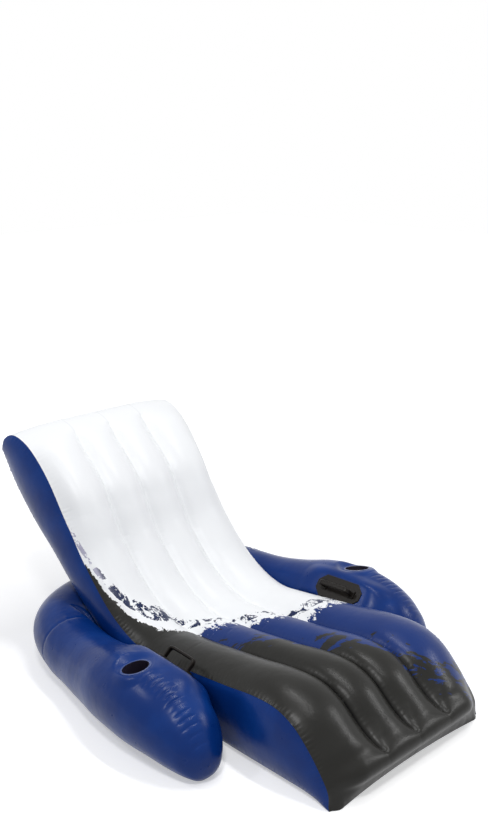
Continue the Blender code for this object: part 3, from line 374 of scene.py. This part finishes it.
def arm_places(count):
    fine = np.linspace(0, 14, 1500)
    centre = arm_station(fine)[0]
    run = np.concatenate([[0], np.cumsum(np.linalg.norm(np.diff(centre, axis=0), axis=1))])
    # rows lie twice as close from the nose to the cup
    close = 1 + smooth((0.62 - run) / 0.10)
    share = np.concatenate([[0], np.cumsum(np.diff(run) * (close[1:] + close[:-1]) / 2)])
    even = np.interp(np.linspace(0, share[-1], count), share, run)
    even[1:] -= 0.6 * (even[1] - even[0]) * np.exp(-np.arange(count - 1) / 3.0)
    place = np.interp(even, run, fine)
    row = int(np.argmin(np.abs(place - MITRE)))
    place[row] = MITRE
    return place, even, row


ARM_PLACE, ARM_RUN, MITRE_ROW = arm_places(600)
# angles round the tube, closest at the crest: down the outer half to the floor, then up the inner half
RING_OUT = CREST_DEG - 167 * np.linspace(0, 1, 43) ** 1.35
RING_IN = CREST_DEG + 193 * np.linspace(1, 0, 47)[1:] ** 1.35
RING = np.concatenate([RING_OUT, RING_IN])
FLOOR_COLUMN = len(RING_OUT) - 1


def arm_surface():
    centre, across, along, radius = arm_station(ARM_PLACE)
    angle = np.broadcast_to(RING[None, :], (len(ARM_PLACE), len(RING)))
    out = direction(across[:, None, :], angle)
    wide = radius[:, None]
    outer = angle <= CREST_DEG
    from_crest = np.radians(np.abs(np.where(outer, CREST_DEG - angle, angle - CREST_DEG))) * wide
    from_low = np.radians(np.abs(np.where(outer, angle + 90, 270 - angle))) * wide
    # folds across the crest weld, deep from the cup to the nose and faint behind
    strong = (0.04 + 0.96 * smooth((5.80 - ARM_PLACE) / 0.3)) * smooth((ARM_PLACE - 0.5) / 0.7)
    length = np.array([0.029 + 0.016 * noise.noise((float(r) / 0.024, 2.0, 4.0)) for r in ARM_RUN])
    crest = dashes(ARM_RUN, 5.5, 0.0220)[:, None] * np.exp(-(from_crest / length[:, None]) ** 4)
    size = 0.0026 * strong[:, None] * crest
    low = gathers(ARM_RUN, 8.2, 0.027)[:, None] * np.exp(-(from_low / 0.035) ** 2)
    size = size + 0.0030 * low * smooth((ARM_PLACE - 0.5) / 1.0)[:, None]
    # the ring weld between arm and bolster
    d = np.abs(ARM_RUN - ARM_RUN[MITRE_ROW])[:, None]
    around = gathers(RING, 13.7, 17.0)[None, :]
    size = size + 0.0016 * around * np.exp(-((d - 0.008) / 0.018) ** 2)
    size = size - 0.0022 * np.exp(-(d / 0.006) ** 2)
    # slack that settles between the welds
    slack = ripple(ARM_RUN[:, None] + 0 * angle, np.radians(angle) * wide, 41.0, 0.14)
    size = size + 0.0018 * slack * smooth((ARM_PLACE - 1.0) / 2.0)[:, None]
    points = centre[:, None, :] + out * (wide + size * smooth(wide / 0.06))[..., None]
    points[..., 2] = np.maximum(points[..., 2], 0)
    return clear_of_lounge(press(points))


def object_from(name, vertices, faces):
    mesh = bpy.data.meshes.new(name)
    mesh.from_pydata([tuple(v) for v in vertices], [], faces)
    mesh.validate()
    work = bmesh.new()
    work.from_mesh(mesh)
    bmesh.ops.recalc_face_normals(work, faces=work.faces)
    work.to_mesh(mesh)
    work.free()
    mesh.shade_smooth()
    mesh.set_sharp_from_angle(angle=math.radians(55))
    item = bpy.data.objects.new(name, mesh)
    bpy.context.scene.collection.objects.link(item)
    return item


def grid_normals(grid):
    along = np.gradient(grid, axis=0)
    around = np.gradient(grid, axis=1)
    n = np.cross(around, along)
    size = np.linalg.norm(n, axis=2, keepdims=True)
    return n / np.where(size > 1e-12, size, 1)


def sheet_object(name, grid, uv, material, outward):
    """Closed thin sheet on a grid, with its two sheet lengths in metres as its UV map."""
    rows, columns = grid.shape[:2]
    n = grid_normals(grid)
    if np.sum(n * outward) < 0:
        n = -n
    inside = grid - n * DRAWN_SHEET
    vertices = np.concatenate([grid.reshape(-1, 3), inside.reshape(-1, 3)])
    shift = rows * columns
    faces = []
    for i in range(rows - 1):
        for j in range(columns - 1):
            a, b = i * columns + j, i * columns + j + 1
            c, d = b + columns, a + columns
            faces.append((a, b, c, d))
            faces.append((a + shift, d + shift, c + shift, b + shift))
    rim = list(range(columns)) + [i * columns + columns - 1 for i in range(1, rows)]
    rim += [(rows - 1) * columns + j for j in range(columns - 2, -1, -1)]
    rim += [i * columns for i in range(rows - 2, 0, -1)]
    for k, a in enumerate(rim):
        b = rim[(k + 1) % len(rim)]
        faces.append((b, a, a + shift, b + shift))
    item = object_from(name, vertices, faces)
    layer = item.data.uv_layers.new(name="sheet")
    flat = uv.reshape(-1, 2)
    for loop in item.data.loops:
        layer.data[loop.index].uv = flat[loop.vertex_index % shift]
    item.data.materials.append(material)
    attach(item, "chair")
    return item


# Materials


class Nodes:
    """Short way to build a node tree."""

    def __init__(self, name):
        self.material = bpy.data.materials.new(name)
        self.material.use_nodes = True
        self.tree = self.material.node_tree
        self.shader = self.tree.nodes["Principled BSDF"]

    def add(self, kind, **inputs):
        node = self.tree.nodes.new("ShaderNode" + kind)
        for key, value in inputs.items():
            self.set(node, key, value)
        return node

    def set(self, node, key, value):
        if hasattr(node, key) and not isinstance(value, bpy.types.NodeSocket):
            setattr(node, key, value)
            return
        socket = node.inputs[int(key[1:])] if key[0] == "i" and key[1:].isdigit() else node.inputs[key]
        if isinstance(value, bpy.types.NodeSocket):
            self.tree.links.new(value, socket)
        else:
            socket.default_value = value

    def math(self, operation, a, b=0.0, c=0.0):
        node = self.add("Math", operation=operation)
        for i, v in enumerate((a, b, c)):
            self.set(node, f"i{i}", v)
        return node.outputs[0]

    def mix(self, share, a, b):
        node = self.add("Mix", data_type="RGBA")
        self.set(node, "i0", share)
        self.set(node, "i6", a if isinstance(a, bpy.types.NodeSocket) else (*a, 1.0))
        self.set(node, "i7", b if isinstance(b, bpy.types.NodeSocket) else (*b, 1.0))
        return node.outputs[2]

    def noise(self, vector, scale, detail=2.0, rough=0.5, distortion=0.0):
        node = self.add("TexNoise", Scale=scale, Detail=detail, Roughness=rough, Distortion=distortion)
        self.tree.links.new(vector, node.inputs["Vector"])
        return node.outputs["Fac"]

    def bump(self, height, strength, distance, normal=None):
        node = self.add("Bump", Strength=strength, Distance=distance)
        self.tree.links.new(height, node.inputs["Height"])
        if normal is not None:
            self.tree.links.new(normal, node.inputs["Normal"])
        return node.outputs["Normal"]

    def step(self, value, low, high):
        node = self.add("MapRange", interpolation_type="SMOOTHSTEP")
        for key, v in (("Value", value), ("From Min", low), ("From Max", high)):
            self.set(node, key, v)
        return node.outputs[0]


def vinyl_bump(n, place):
    """Soft waviness of blown-up sheet, and the small unevenness in it."""
    wave = n.noise(place, 16.0, 2.0, 0.45)
    crease = n.noise(place, 45.0, 1.0, 0.40)
    return n.bump(crease, 0.20, 0.0012, n.bump(wave, 0.30, 0.006))


def blue_vinyl():
    n = Nodes("blue_vinyl")
    place = n.add("TexCoord").outputs["Object"]
    cloud = n.noise(place, 6.0, 3.0)
    colour = n.mix(n.step(cloud, 0.35, 0.70), (0.0012, 0.0240, 0.150), (0.0030, 0.0350, 0.195))
    scuff = n.noise(place, 38.0, 4.0, 0.62)
    colour = n.mix(n.math("MULTIPLY", n.step(scuff, 0.60, 0.80), 0.12), colour, (0.030, 0.065, 0.230))
    n.set(n.shader, "Base Color", colour)
    rough = n.math("MULTIPLY_ADD", n.noise(place, 24.0, 4.0), 0.08, 0.25)
    n.set(n.shader, "Roughness", rough)
    n.set(n.shader, "Normal", vinyl_bump(n, place))
    n.shader.inputs["Specular IOR Level"].default_value = 0.17
    return n.material


def float_curve(n, value, points, low, high, bottom, top_value):
    """Value of a drawn curve y(x), with x from low to high and y from bottom to top_value."""
    node = n.add("FloatCurve")
    scaled = n.math("MULTIPLY_ADD", value, 1 / (high - low), -low / (high - low))
    n.tree.links.new(scaled, node.inputs["Value"])
    line = node.mapping.curves[0]
    for k, (x, y) in enumerate(points):
        spot = ((x - low) / (high - low), (y - bottom) / (top_value - bottom))
        if k < 2:
            line.points[k].location = spot
        else:
            line.points.new(*spot)
    node.mapping.update()
    return n.math("MULTIPLY_ADD", node.outputs["Value"], top_value - bottom, bottom)


def print_vinyl():
    """White back with a torn edge at the seat, blue over the knee and charcoal at the foot.
    The UV map holds metres across and metres along the sheet."""
    n = Nodes("print_vinyl")
    uv = n.add("UVMap", uv_map="sheet").outputs["UV"]
    place = n.add("TexCoord").outputs["Object"]
    split = n.add("SeparateXYZ")
    n.tree.links.new(uv, split.inputs[0])
    x, s = split.outputs[0], split.outputs[1]
    stretch = n.add("Mapping")
    stretch.inputs["Scale"].default_value = (1.0, 0.60, 1.0)
    n.tree.links.new(uv, stretch.inputs["Vector"])
    where = stretch.outputs["Vector"]
    rag = n.math("SUBTRACT", n.noise(where, 30.0, 5.0, 0.70, 0.5), 0.5)
    fine = n.math("SUBTRACT", n.noise(where, 95.0, 4.0, 0.68, 0.7), 0.5)
    torn = n.math("MULTIPLY_ADD", fine, 0.12, n.math("MULTIPLY", rag, 0.20))
    edge = float_curve(n, x, WHITE_EDGE, -0.43, 0.43, 0.0, 2.4)
    d = n.math("ADD", n.math("SUBTRACT", s, edge), torn)
    white = n.step(d, -0.0015, 0.0015)
    # dark splashes float in a band above the torn edge
    fleck_noise = n.noise(where, 27.0, 6.0, 0.74, 1.1)
    left = n.step(x, -0.10, -0.19)
    plain = n.math("MULTIPLY_ADD", left, -0.030, n.math("SUBTRACT", s, edge))
    plain = n.math("MULTIPLY", plain, n.math("MULTIPLY_ADD", left, -0.40, 1.0))
    band = n.math("MULTIPLY", n.step(plain, 0.006, 0.040), n.step(plain, 0.150, 0.085))
    dense = n.math("MULTIPLY_ADD", left, 0.10, 0.98)
    fleck = n.step(n.math("MULTIPLY", n.math("MULTIPLY", band, fleck_noise), dense), 0.524, 0.530)
    # blue gives way to charcoal along a slant, broken into islands
    patch = n.math("SUBTRACT", n.noise(where, 11.0, 2.0, 0.50, 0.6), 0.5)
    drawn = n.add("Mapping", vector_type="TEXTURE")
    drawn.inputs["Rotation"].default_value = (0.0, 0.0, math.radians(-45))
    drawn.inputs["Scale"].default_value = (2.5, 1.0, 1.0)
    n.tree.links.new(uv, drawn.inputs["Vector"])
    island = n.math("SUBTRACT", n.noise(drawn.outputs["Vector"], 30.0, 5.0, 0.68, 0.6), 0.5)
    slant = n.math("SUBTRACT", s, float_curve(n, x, DARK_EDGE, -0.43, 0.43, 0.0, 2.4))
    slant = n.math("MULTIPLY_ADD", patch, 0.30, slant)
    blue = n.step(n.math("MULTIPLY_ADD", island, 0.85, slant), -0.002, 0.002)
    near = n.step(n.math("MULTIPLY_ADD", fine, 0.01, x), -0.1665, -0.1655)
    blue = n.math("MULTIPLY", blue, near)
    charcoal = n.mix(n.noise(place, 5.0, 2.0), (0.0090, 0.0088, 0.0075), (0.0160, 0.0155, 0.0135))
    deep = n.mix(n.noise(place, 6.0, 2.0), (0.0018, 0.0200, 0.130), (0.0045, 0.0310, 0.170))
    colour = n.mix(blue, charcoal, deep)
    colour = n.mix(white, colour, (0.87, 0.88, 0.89))
    dark = n.mix(n.step(x, -0.335, -0.350), (0.005, 0.014, 0.062), (0.42, 0.41, 0.52))
    colour = n.mix(fleck, colour, dark)
    # painted shade: the printed part is darkened in the creases of its welds, only faintly where it is white
    crease_shade = None
    for centre in (-SEAM_X, 0.0, SEAM_X):
        off = n.math("ABSOLUTE", n.math("SUBTRACT", x, centre))
        crease_shade = off if crease_shade is None else n.math("MINIMUM", crease_shade, off)
    crease_shade = n.math("MULTIPLY", n.step(crease_shade, 0.0042, 0.0016), n.step(s, 0.16, 0.19))
    crease_shade = n.math("MULTIPLY", crease_shade, n.math("MULTIPLY_ADD", white, -0.79, 0.85))
    colour = n.mix(crease_shade, colour, (0.004, 0.004, 0.005))
    n.set(n.shader, "Base Color", colour)
    n.set(n.shader, "Roughness", n.math("MULTIPLY_ADD", n.noise(place, 24.0, 4.0), 0.10, 0.28))
    n.set(n.shader, "Normal", vinyl_bump(n, place))
    n.shader.inputs["Specular IOR Level"].default_value = 0.22
    return n.material


def plain_vinyl(name, colour, dark, rough):
    n = Nodes(name)
    place = n.add("TexCoord").outputs["Object"]
    n.set(n.shader, "Base Color", n.mix(n.noise(place, 30.0, 4.0), colour, dark))
    n.set(n.shader, "Roughness", n.math("MULTIPLY_ADD", n.noise(place, 120.0, 3.0), 0.15, rough))
    n.set(n.shader, "Normal", n.bump(n.noise(place, 420.0, 3.0), 0.15, 0.0006))
    return n.material


def moulding():
    n = Nodes("black_moulding")
    place = n.add("TexCoord").outputs["Object"]
    colour = n.mix(n.noise(place, 60.0, 4.0), (0.006, 0.005, 0.0045), (0.014, 0.011, 0.009))
    n.set(n.shader, "Base Color", colour)
    n.set(n.shader, "Roughness", n.math("MULTIPLY_ADD", n.noise(place, 260.0, 3.0), 0.16, 0.26))
    n.set(n.shader, "Normal", n.bump(n.noise(place, 700.0, 3.0), 0.18, 0.0005))
    n.shader.inputs["Specular IOR Level"].default_value = 0.14
    return n.material


def valve_vinyl():
    n = Nodes("valve_vinyl")
    place = n.add("TexCoord").outputs["Object"]
    n.set(n.shader, "Base Color", n.mix(n.noise(place, 200.0, 3.0), (0.50, 0.52, 0.54), (0.62, 0.64, 0.66)))
    n.set(n.shader, "Roughness", n.math("MULTIPLY_ADD", n.noise(place, 300.0, 3.0), 0.14, 0.24))
    n.set(n.shader, "Normal", n.bump(n.noise(place, 900.0, 2.0), 0.12, 0.0003))
    n.shader.inputs["Subsurface Weight"].default_value = 0.15
    n.shader.inputs["Subsurface Radius"].default_value = (0.004, 0.004, 0.004)
    return n.material


def along_sheet(points):
    """Points (across, along from the foot edge) turned into (across, length along the sheet)."""
    y = upper(PLACES)[:, 0] + MIDDLE * LENGTH
    return tuple((x, float(np.interp(at, y, RUN))) for x, at in points)


WHITE_EDGE = along_sheet(((-0.41, 1.36), (-0.372, 1.30), (-0.350, 1.18), (-0.322, 1.065), (-0.280, 0.960),
                          (-0.200, 0.910), (-0.111, 0.854), (0.005, 0.790), (0.090, 0.712), (0.175, 0.652),
                          (0.242, 0.630), (0.300, 0.600), (0.41, 0.560)))
DARK_EDGE = along_sheet(((-0.41, 0.90), (-0.166, 0.72), (-0.080, 0.62), (0.000, 0.46), (0.080, 0.34),
                         (0.166, 0.25), (0.220, 0.17), (0.280, 0.10), (0.41, 0.06)))

BLUE = blue_vinyl()
PRINT = print_vinyl()
# the rim is painted a lighter blue than the arm: a painted highlight along the rim
RIM_PAINTED_HIGHLIGHT = plain_vinyl("rim_vinyl", (0.020, 0.050, 0.190), (0.030, 0.065, 0.230), 0.22)
# painted shade: the cup well is near black with a warm tint, for the shade inside the recess
CUP_PAINTED_SHADE = plain_vinyl("cup_vinyl", (0.010, 0.009, 0.020), (0.020, 0.015, 0.026), 0.24)
WEB = plain_vinyl("inner_vinyl", (0.45, 0.47, 0.50), (0.52, 0.54, 0.57), 0.40)
BLACK = moulding()
CLEAR = valve_vinyl()

for name, item in nodes.items():
    if name.startswith(("handle", "lounge_check", "arm_check")):
        paint = BLACK
    elif "valve" in name:
        paint = CLEAR
    elif name.startswith("cup_well"):
        paint = CUP_PAINTED_SHADE
    elif name.startswith("cup_rim"):
        paint = RIM_PAINTED_HIGHLIGHT
    elif name.startswith("joining"):
        paint = BLUE
    elif name.startswith("channel_rib"):
        paint = WEB
    else:
        continue
    item.data.materials.clear()
    item.data.materials.append(paint)


def sheet_lengths(grid, run):
    """UV in metres: x across, run along."""
    return np.stack([grid[..., 0], np.broadcast_to(run[:, None], grid.shape[:2])], -1)


def blown_up(grid, held, growth, cap):
    """The sheet blown up as cloth where it isn't held; nothing moves further than the cap."""
    rows, columns = grid.shape[:2]
    corner = np.arange(rows * columns).reshape(rows, columns)
    faces = np.stack([corner[:-1, :-1], corner[:-1, 1:], corner[1:, 1:], corner[1:, :-1]], -1)
    mesh = bpy.data.meshes.new("cloth")
    mesh.from_pydata(grid.reshape(-1, 3).tolist(), [], faces.reshape(-1, 4).tolist())
    item = bpy.data.objects.new("cloth", mesh)
    bpy.context.scene.collection.objects.link(item)
    welds = item.vertex_groups.new(name="welds")
    welds.add([int(i) for i in corner[held]], 1.0, "REPLACE")
    cloth = item.modifiers.new("cloth", "CLOTH")
    setup = cloth.settings
    setup.vertex_group_mass = "welds"
    setup.quality, setup.mass, setup.air_damping = 6, 0.10, 4.0
    setup.tension_stiffness = setup.compression_stiffness = 30
    setup.shear_stiffness, setup.bending_stiffness = 12, 0.8
    setup.use_pressure, setup.uniform_pressure_force = True, 4.0
    setup.shrink_min = -growth
    setup.effector_weights.gravity = 0
    cloth.collision_settings.use_collision = False
    scene = bpy.context.scene
    for step in range(1, 21):
        scene.frame_set(step)
    evaluated = item.evaluated_get(bpy.context.evaluated_depsgraph_get())
    flat = np.empty(rows * columns * 3)
    evaluated.data.vertices.foreach_get("co", flat)
    move = flat.reshape(grid.shape) - grid
    size = np.linalg.norm(move, axis=-1, keepdims=True)
    bpy.data.objects.remove(item)
    bpy.data.meshes.remove(mesh)
    scene.frame_set(1)
    return grid + move * cap * np.tanh(size / cap) / np.maximum(size, 1e-9)


# Valves: hole round the collar, how far out the sheet is flat and fades, and its gap to the flange
VALVE_HOLE, VALVE_REACH, VALVE_FADE, VALVE_GAP = 0.0134, 0.080, 0.032, 0.0003


def valve_axis(label):
    """Centre of a valve's flange on its underside, and the way out of the sheet."""
    points = np.array([v.co for v in nodes[f"{label}_valve_flange"].data.vertices])
    out = -np.array(next(j["axis"] for j in frame["joints"] if j["child"] == f"{label}_stem"))
    centre = points.mean(axis=0)
    height = (points - centre) @ out
    away = np.linalg.norm(points - centre - np.outer(height, out), axis=1)
    return centre + out * height[away > 0.9 * away.max()].min(), out


def laid_flat(grid, centre, out):
    """Lay a sheet flat below the flange of its valve."""
    off = grid - centre
    height = off @ out
    away = np.linalg.norm(off - height[..., None] * out, axis=-1)
    share = smooth((VALVE_REACH - away) / VALVE_FADE) * (np.abs(height) < VALVE_REACH)
    return grid - ((height + VALVE_GAP) * share)[..., None] * out


SEGMENTS, LOW_SEGMENTS, SIDE_SEGMENTS, RIB_LEVELS = 22, 10, 24, 9
CLOTH_GROWTH, CLOTH_CAP = 0.0015, 0.0030
RIB_GAP = 0.0015
UP = np.array([0.0, 0.0, 1.0])
RIGHT = np.array([1.0, 0.0, 0.0])
VALVES = {label: valve_axis(label) for label in ("lounge", "arm")}


def upright_uv(grid, run):
    """UV in metres of an upright sheet: run along, height up."""
    return np.stack([np.broadcast_to(run[:, None], grid.shape[:2]), grid[..., 2]], -1)


def top_grid():
    """The top sheet, blown up as cloth between its welds."""
    top = lounge_sheet(True, SEGMENTS)
    held = np.zeros(top.shape[:2], bool)
    held[[0, -1]] = held[:, [0, -1]] = True
    held[(RUN > SEAM_RUN[0]) & (RUN < SEAM_RUN[1])] |= np.arange(top.shape[1]) % SEGMENTS == 0
    loose = blown_up(top, held, CLOTH_GROWTH, CLOTH_CAP)
    # the band before the welds keeps its modelled roll, and the back stays smoother
    share = smooth((RUN - SEAM_RUN[0]) / 0.08) * (1 - 0.55 * smooth((RUN - 0.85) / 0.40))
    top += (loose - top) * share[:, None, None]
    return top


def make_lounge():
    top = top_grid()
    bottom = laid_flat(lounge_sheet(False, LOW_SEGMENTS), *VALVES["lounge"])
    sides = {sign: lounge_side(sign, top, bottom, SIDE_SEGMENTS) for sign in (-1, 1)}
    upper_sheet = sheet_object("seat_top_sheet", top, sheet_lengths(top, RUN), PRINT, UP)
    # the ends of the lower sheet draw back from the welds
    low = bottom.copy()
    low[0] += (low[1] - low[0]) * 0.12
    low[-1] += (low[-2] - low[-1]) * 0.12
    lower_sheet = sheet_object("seat_bottom_sheet", low, sheet_lengths(bottom, RUN), BLUE, -UP)
    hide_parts("top_sheet")
    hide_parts("bottom_sheet")
    for sign, side in ((-1, "left"), (1, "right")):
        grid = sides[sign].copy()
        grid[:, 0] += (grid[:, 1] - grid[:, 0]) * 0.05
        grid[:, -1] += (grid[:, -2] - grid[:, -1]) * 0.05
        uv = upright_uv(grid, RUN)
        panel = sheet_object(f"seat_side_{side}", grid[1:-1], uv[1:-1], BLUE, sign * RIGHT)
        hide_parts(f"side_panel_{side}")
    make_ribs(top, bottom)
    return lower_sheet


def make_ribs(top, bottom):
    """Ribs inside, each between the welds of the two sheets."""
    welded = (RUN >= SEAM_RUN[0]) & (RUN <= SEAM_RUN[1])
    levels = np.linspace(0, 1, RIB_LEVELS)[:, None]
    for k, side in enumerate(("left", "centre", "right"), 1):
        above, below = top[welded, k * SEGMENTS], bottom[welded, k * LOW_SEGMENTS]
        reach = below - above
        back = reach * (RIB_GAP / np.linalg.norm(reach, axis=1))[:, None]
        grid = above[:, None] + back[:, None] + (reach - 2 * back)[:, None] * levels
        rib = sheet_object(f"channel_web_{side}", grid, upright_uv(grid, RUN[welded]), WEB, RIGHT)
        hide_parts(f"channel_rib_{side}")


def cylinder_cutter(name, frame_matrix, radius, reach):
    work = bmesh.new()
    bmesh.ops.create_cone(work, cap_ends=True, segments=64, radius1=radius, radius2=radius, depth=2 * reach)
    mesh = bpy.data.meshes.new(name)
    work.to_mesh(mesh)
    work.free()
    item = bpy.data.objects.new(name, mesh)
    bpy.context.scene.collection.objects.link(item)
    item.matrix_world = frame_matrix
    return item


def cut(item, cutter):
    modifier = item.modifiers.new("cut", "BOOLEAN")
    modifier.operation, modifier.solver, modifier.object = "DIFFERENCE", "EXACT", cutter
    bpy.context.view_layer.update()
    mesh = bpy.data.meshes.new_from_object(item.evaluated_get(bpy.context.evaluated_depsgraph_get()))
    item.modifiers.clear()
    old = item.data
    item.data = mesh
    bpy.data.meshes.remove(old)


MIRROR = np.array([-1.0, 1.0, 1.0])
PANEL_COLUMNS = {"outer": slice(0, FLOOR_COLUMN + 1), "inner": slice(FLOOR_COLUMN, len(RING))}


def arm_panel(name, node, grid, uv, middle):
    item = sheet_object(name, grid, uv, BLUE, grid - middle)
    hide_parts(node)
    return item


def make_arms():
    """Panels of the two arms and of the bolster behind the lounge."""
    tube = arm_surface()
    round_tube = np.radians(np.concatenate([RING_OUT, RING_IN - 360]))[None, :] * RADIUS
    uv = np.stack([np.broadcast_to(ARM_RUN[:, None], tube.shape[:2]),
                   np.broadcast_to(round_tube, tube.shape[:2])], -1)
    for side, sign in (("right", 1.0), ("left", -1.0)):
        flip = np.array([sign, 1.0, 1.0])
        panels = []
        for kind, cols in PANEL_COLUMNS.items():
            grid = (tube * flip)[:MITRE_ROW + 1, cols]
            middle = arm_station(ARM_PLACE[:MITRE_ROW + 1])[0][:, None, :] * flip
            panels.append(arm_panel(f"arm_{kind}_{side}", f"arm_{kind}_panel_{side}", grid,
                                    uv[:MITRE_ROW + 1, cols], middle))
        hole = cylinder_cutter(f"hole_{side}", seat_matrix(SEATS[0], sign), CUP_HOLE, CUT_REACH)
        for panel in panels:
            cut(panel, hole)
        bpy.data.objects.remove(hole)
    rear = np.concatenate([tube[MITRE_ROW:], (tube * MIRROR)[MITRE_ROW:-1][::-1]])
    rear = laid_flat(rear, *VALVES["arm"])
    rear_uv = np.concatenate([uv[MITRE_ROW:], uv[MITRE_ROW:-1][::-1]])
    rear_uv[len(tube) - MITRE_ROW:, :, 0] = 2 * ARM_RUN[-1] - rear_uv[len(tube) - MITRE_ROW:, :, 0]
    centre = arm_station(ARM_PLACE[MITRE_ROW:])[0]
    centre = np.concatenate([centre, (centre * MIRROR)[:-1][::-1]])[:, None, :]
    outer, inner = PANEL_COLUMNS["outer"], PANEL_COLUMNS["inner"]
    bolster = arm_panel("bolster_rear", "bolster_rear_panel", rear[:, outer], rear_uv[:, outer], centre)
    arm_panel("bolster_front", "bolster_front_panel", rear[:, inner], rear_uv[:, inner], centre)
    return bolster


def cut_valve_hole(label, sheet):
    """Hole in a sheet round its valve's collar, below the flange."""
    centre, out = VALVES[label]
    turn = Vector(out).to_track_quat("Z", "Y").to_matrix().to_4x4()
    place = Matrix.Translation(centre) @ turn
    hole = cylinder_cutter(f"{label}_valve_hole", place, VALVE_HOLE, CUT_REACH)
    cut(sheet, hole)
    bpy.data.objects.remove(hole)


seat_bottom = make_lounge()
bolster_rear = make_arms()
cut_valve_hole("lounge", seat_bottom)
cut_valve_hole("arm", bolster_rear)

# The photograph's camera: turn and tilt, its place from the foot edge in metres, and in the
# photograph's pixels its long side, its lens and the row of its optical axis
CAMERA_TURN_DEG, CAMERA_TILT_DEG = 44.428, 26.637
CAMERA_PLACE = (-2.3343, -1.5652, 1.9522)
LONG_SIDE, LENS_PIXELS, AXIS_ROW = 818, 990.5, 610
SENSOR_MM = 36


def make_camera():
    turn, tilt = math.radians(CAMERA_TURN_DEG), math.radians(CAMERA_TILT_DEG)
    r = Vector((math.cos(turn), -math.sin(turn), 0))
    u = Vector((math.sin(turn) * math.sin(tilt), math.cos(turn) * math.sin(tilt), math.cos(tilt)))
    b = Vector((-math.sin(turn) * math.cos(tilt), -math.cos(turn) * math.cos(tilt), math.sin(tilt)))
    x, y, z = CAMERA_PLACE
    c = Vector((x, y - MIDDLE * LENGTH, z))
    data = bpy.data.cameras.new("camera")
    data.lens = LENS_PIXELS * SENSOR_MM / LONG_SIDE
    data.sensor_width = SENSOR_MM
    data.shift_y = (AXIS_ROW - LONG_SIDE / 2) / LONG_SIDE
    data.clip_end = 60
    camera = bpy.data.objects.new("camera", data)
    bpy.context.scene.collection.objects.link(camera)
    rows = [(r[i], u[i], b[i], c[i]) for i in range(3)]
    camera.matrix_world = Matrix((*rows, (0, 0, 0, 1)))
    bpy.context.scene.camera = camera


def area_light(name, location, target, size, power, size_y=None):
    data = bpy.data.lights.new(name, "AREA")
    data.shape = "RECTANGLE"
    data.size, data.size_y = size, size_y or size
    data.energy = power
    light = bpy.data.objects.new(name, data)
    light.location = location
    light.rotation_euler = (Vector(target) - Vector(location)).to_track_quat("-Z", "Y").to_euler()
    bpy.context.scene.collection.objects.link(light)


def white_background():
    """World: a soft sky for lighting, plain white where it is seen directly or mirrored."""
    world = bpy.data.worlds.new("studio")
    bpy.context.scene.world = world
    world.use_nodes = True
    tree = world.node_tree
    for node in list(tree.nodes):
        tree.nodes.remove(node)
    out = tree.nodes.new("ShaderNodeOutputWorld")
    soft = tree.nodes.new("ShaderNodeBackground")
    soft.inputs[0].default_value = (0.93, 0.95, 1.0, 1)
    soft.inputs[1].default_value = 0.33
    white = tree.nodes.new("ShaderNodeBackground")
    white.inputs[0].default_value = (1, 1, 1, 1)
    white.inputs[1].default_value = 1.0
    path = tree.nodes.new("ShaderNodeLightPath")
    mix = tree.nodes.new("ShaderNodeMixShader")
    seen = path.outputs["Is Camera Ray"]
    for kind in ("Is Glossy Ray", "Is Transmission Ray"):
        more = tree.nodes.new("ShaderNodeMath")
        more.operation = "MAXIMUM"
        tree.links.new(seen, more.inputs[0])
        tree.links.new(path.outputs[kind], more.inputs[1])
        seen = more.outputs[0]
    tree.links.new(seen, mix.inputs[0])
    tree.links.new(soft.outputs[0], mix.inputs[1])
    tree.links.new(white.outputs[0], mix.inputs[2])
    tree.links.new(mix.outputs[0], out.inputs[0])


def make_floor():
    """Pale floor that keeps the object's shadow and is plain white away from it."""
    mesh = bpy.data.meshes.new("floor")
    edge, level = 14, -0.0015
    mesh.from_pydata([(-edge, -edge, level), (edge, -edge, level), (edge, edge, level), (-edge, edge, level)],
                     [], [(0, 1, 2, 3)])
    floor = bpy.data.objects.new("floor", mesh)
    bpy.context.scene.collection.objects.link(floor)
    n = Nodes("floor")
    n.shader.inputs["Base Color"].default_value = (0.84, 0.84, 0.84, 1)
    n.shader.inputs["Roughness"].default_value = 0.9
    n.shader.inputs["Specular IOR Level"].default_value = 0.1
    path = n.add("LightPath")
    seen = n.math("MAXIMUM", path.outputs["Is Camera Ray"], path.outputs["Is Glossy Ray"])
    seen = n.math("MAXIMUM", seen, path.outputs["Is Transmission Ray"])
    length = n.add("VectorMath", operation="LENGTH")
    n.tree.links.new(n.add("TexCoord").outputs["Object"], length.inputs[0])
    away = n.step(length.outputs["Value"], 1.3, 3.2)
    glow = n.add("Emission")
    n.set(glow, "Strength", n.math("MULTIPLY", seen, n.math("MULTIPLY_ADD", away, 0.65, 0.42)))
    both = n.add("AddShader")
    n.tree.links.new(n.shader.outputs[0], both.inputs[0])
    n.tree.links.new(glow.outputs[0], both.inputs[1])
    n.tree.links.new(both.outputs[0], n.tree.nodes["Material Output"].inputs["Surface"])
    mesh.materials.append(n.material)


make_camera()
white_background()
make_floor()
area_light("key", (-1.9, -1.6, 3.6), (0, 0, 0.3), 0.5, 45)
area_light("fill", (2.9, -2.4, 2.6), (0, -0.2, 0.3), 0.6, 24)
area_light("strip", (0.42, -0.60, 4.1), (0.42, -0.75, 0), 0.20, 64, size_y=3.0)
area_light("side", (-2.3, 1.5, 3.2), (-0.3, 0, 0.3), 0.5, 18)
bpy.context.scene.view_settings.view_transform = "Standard"
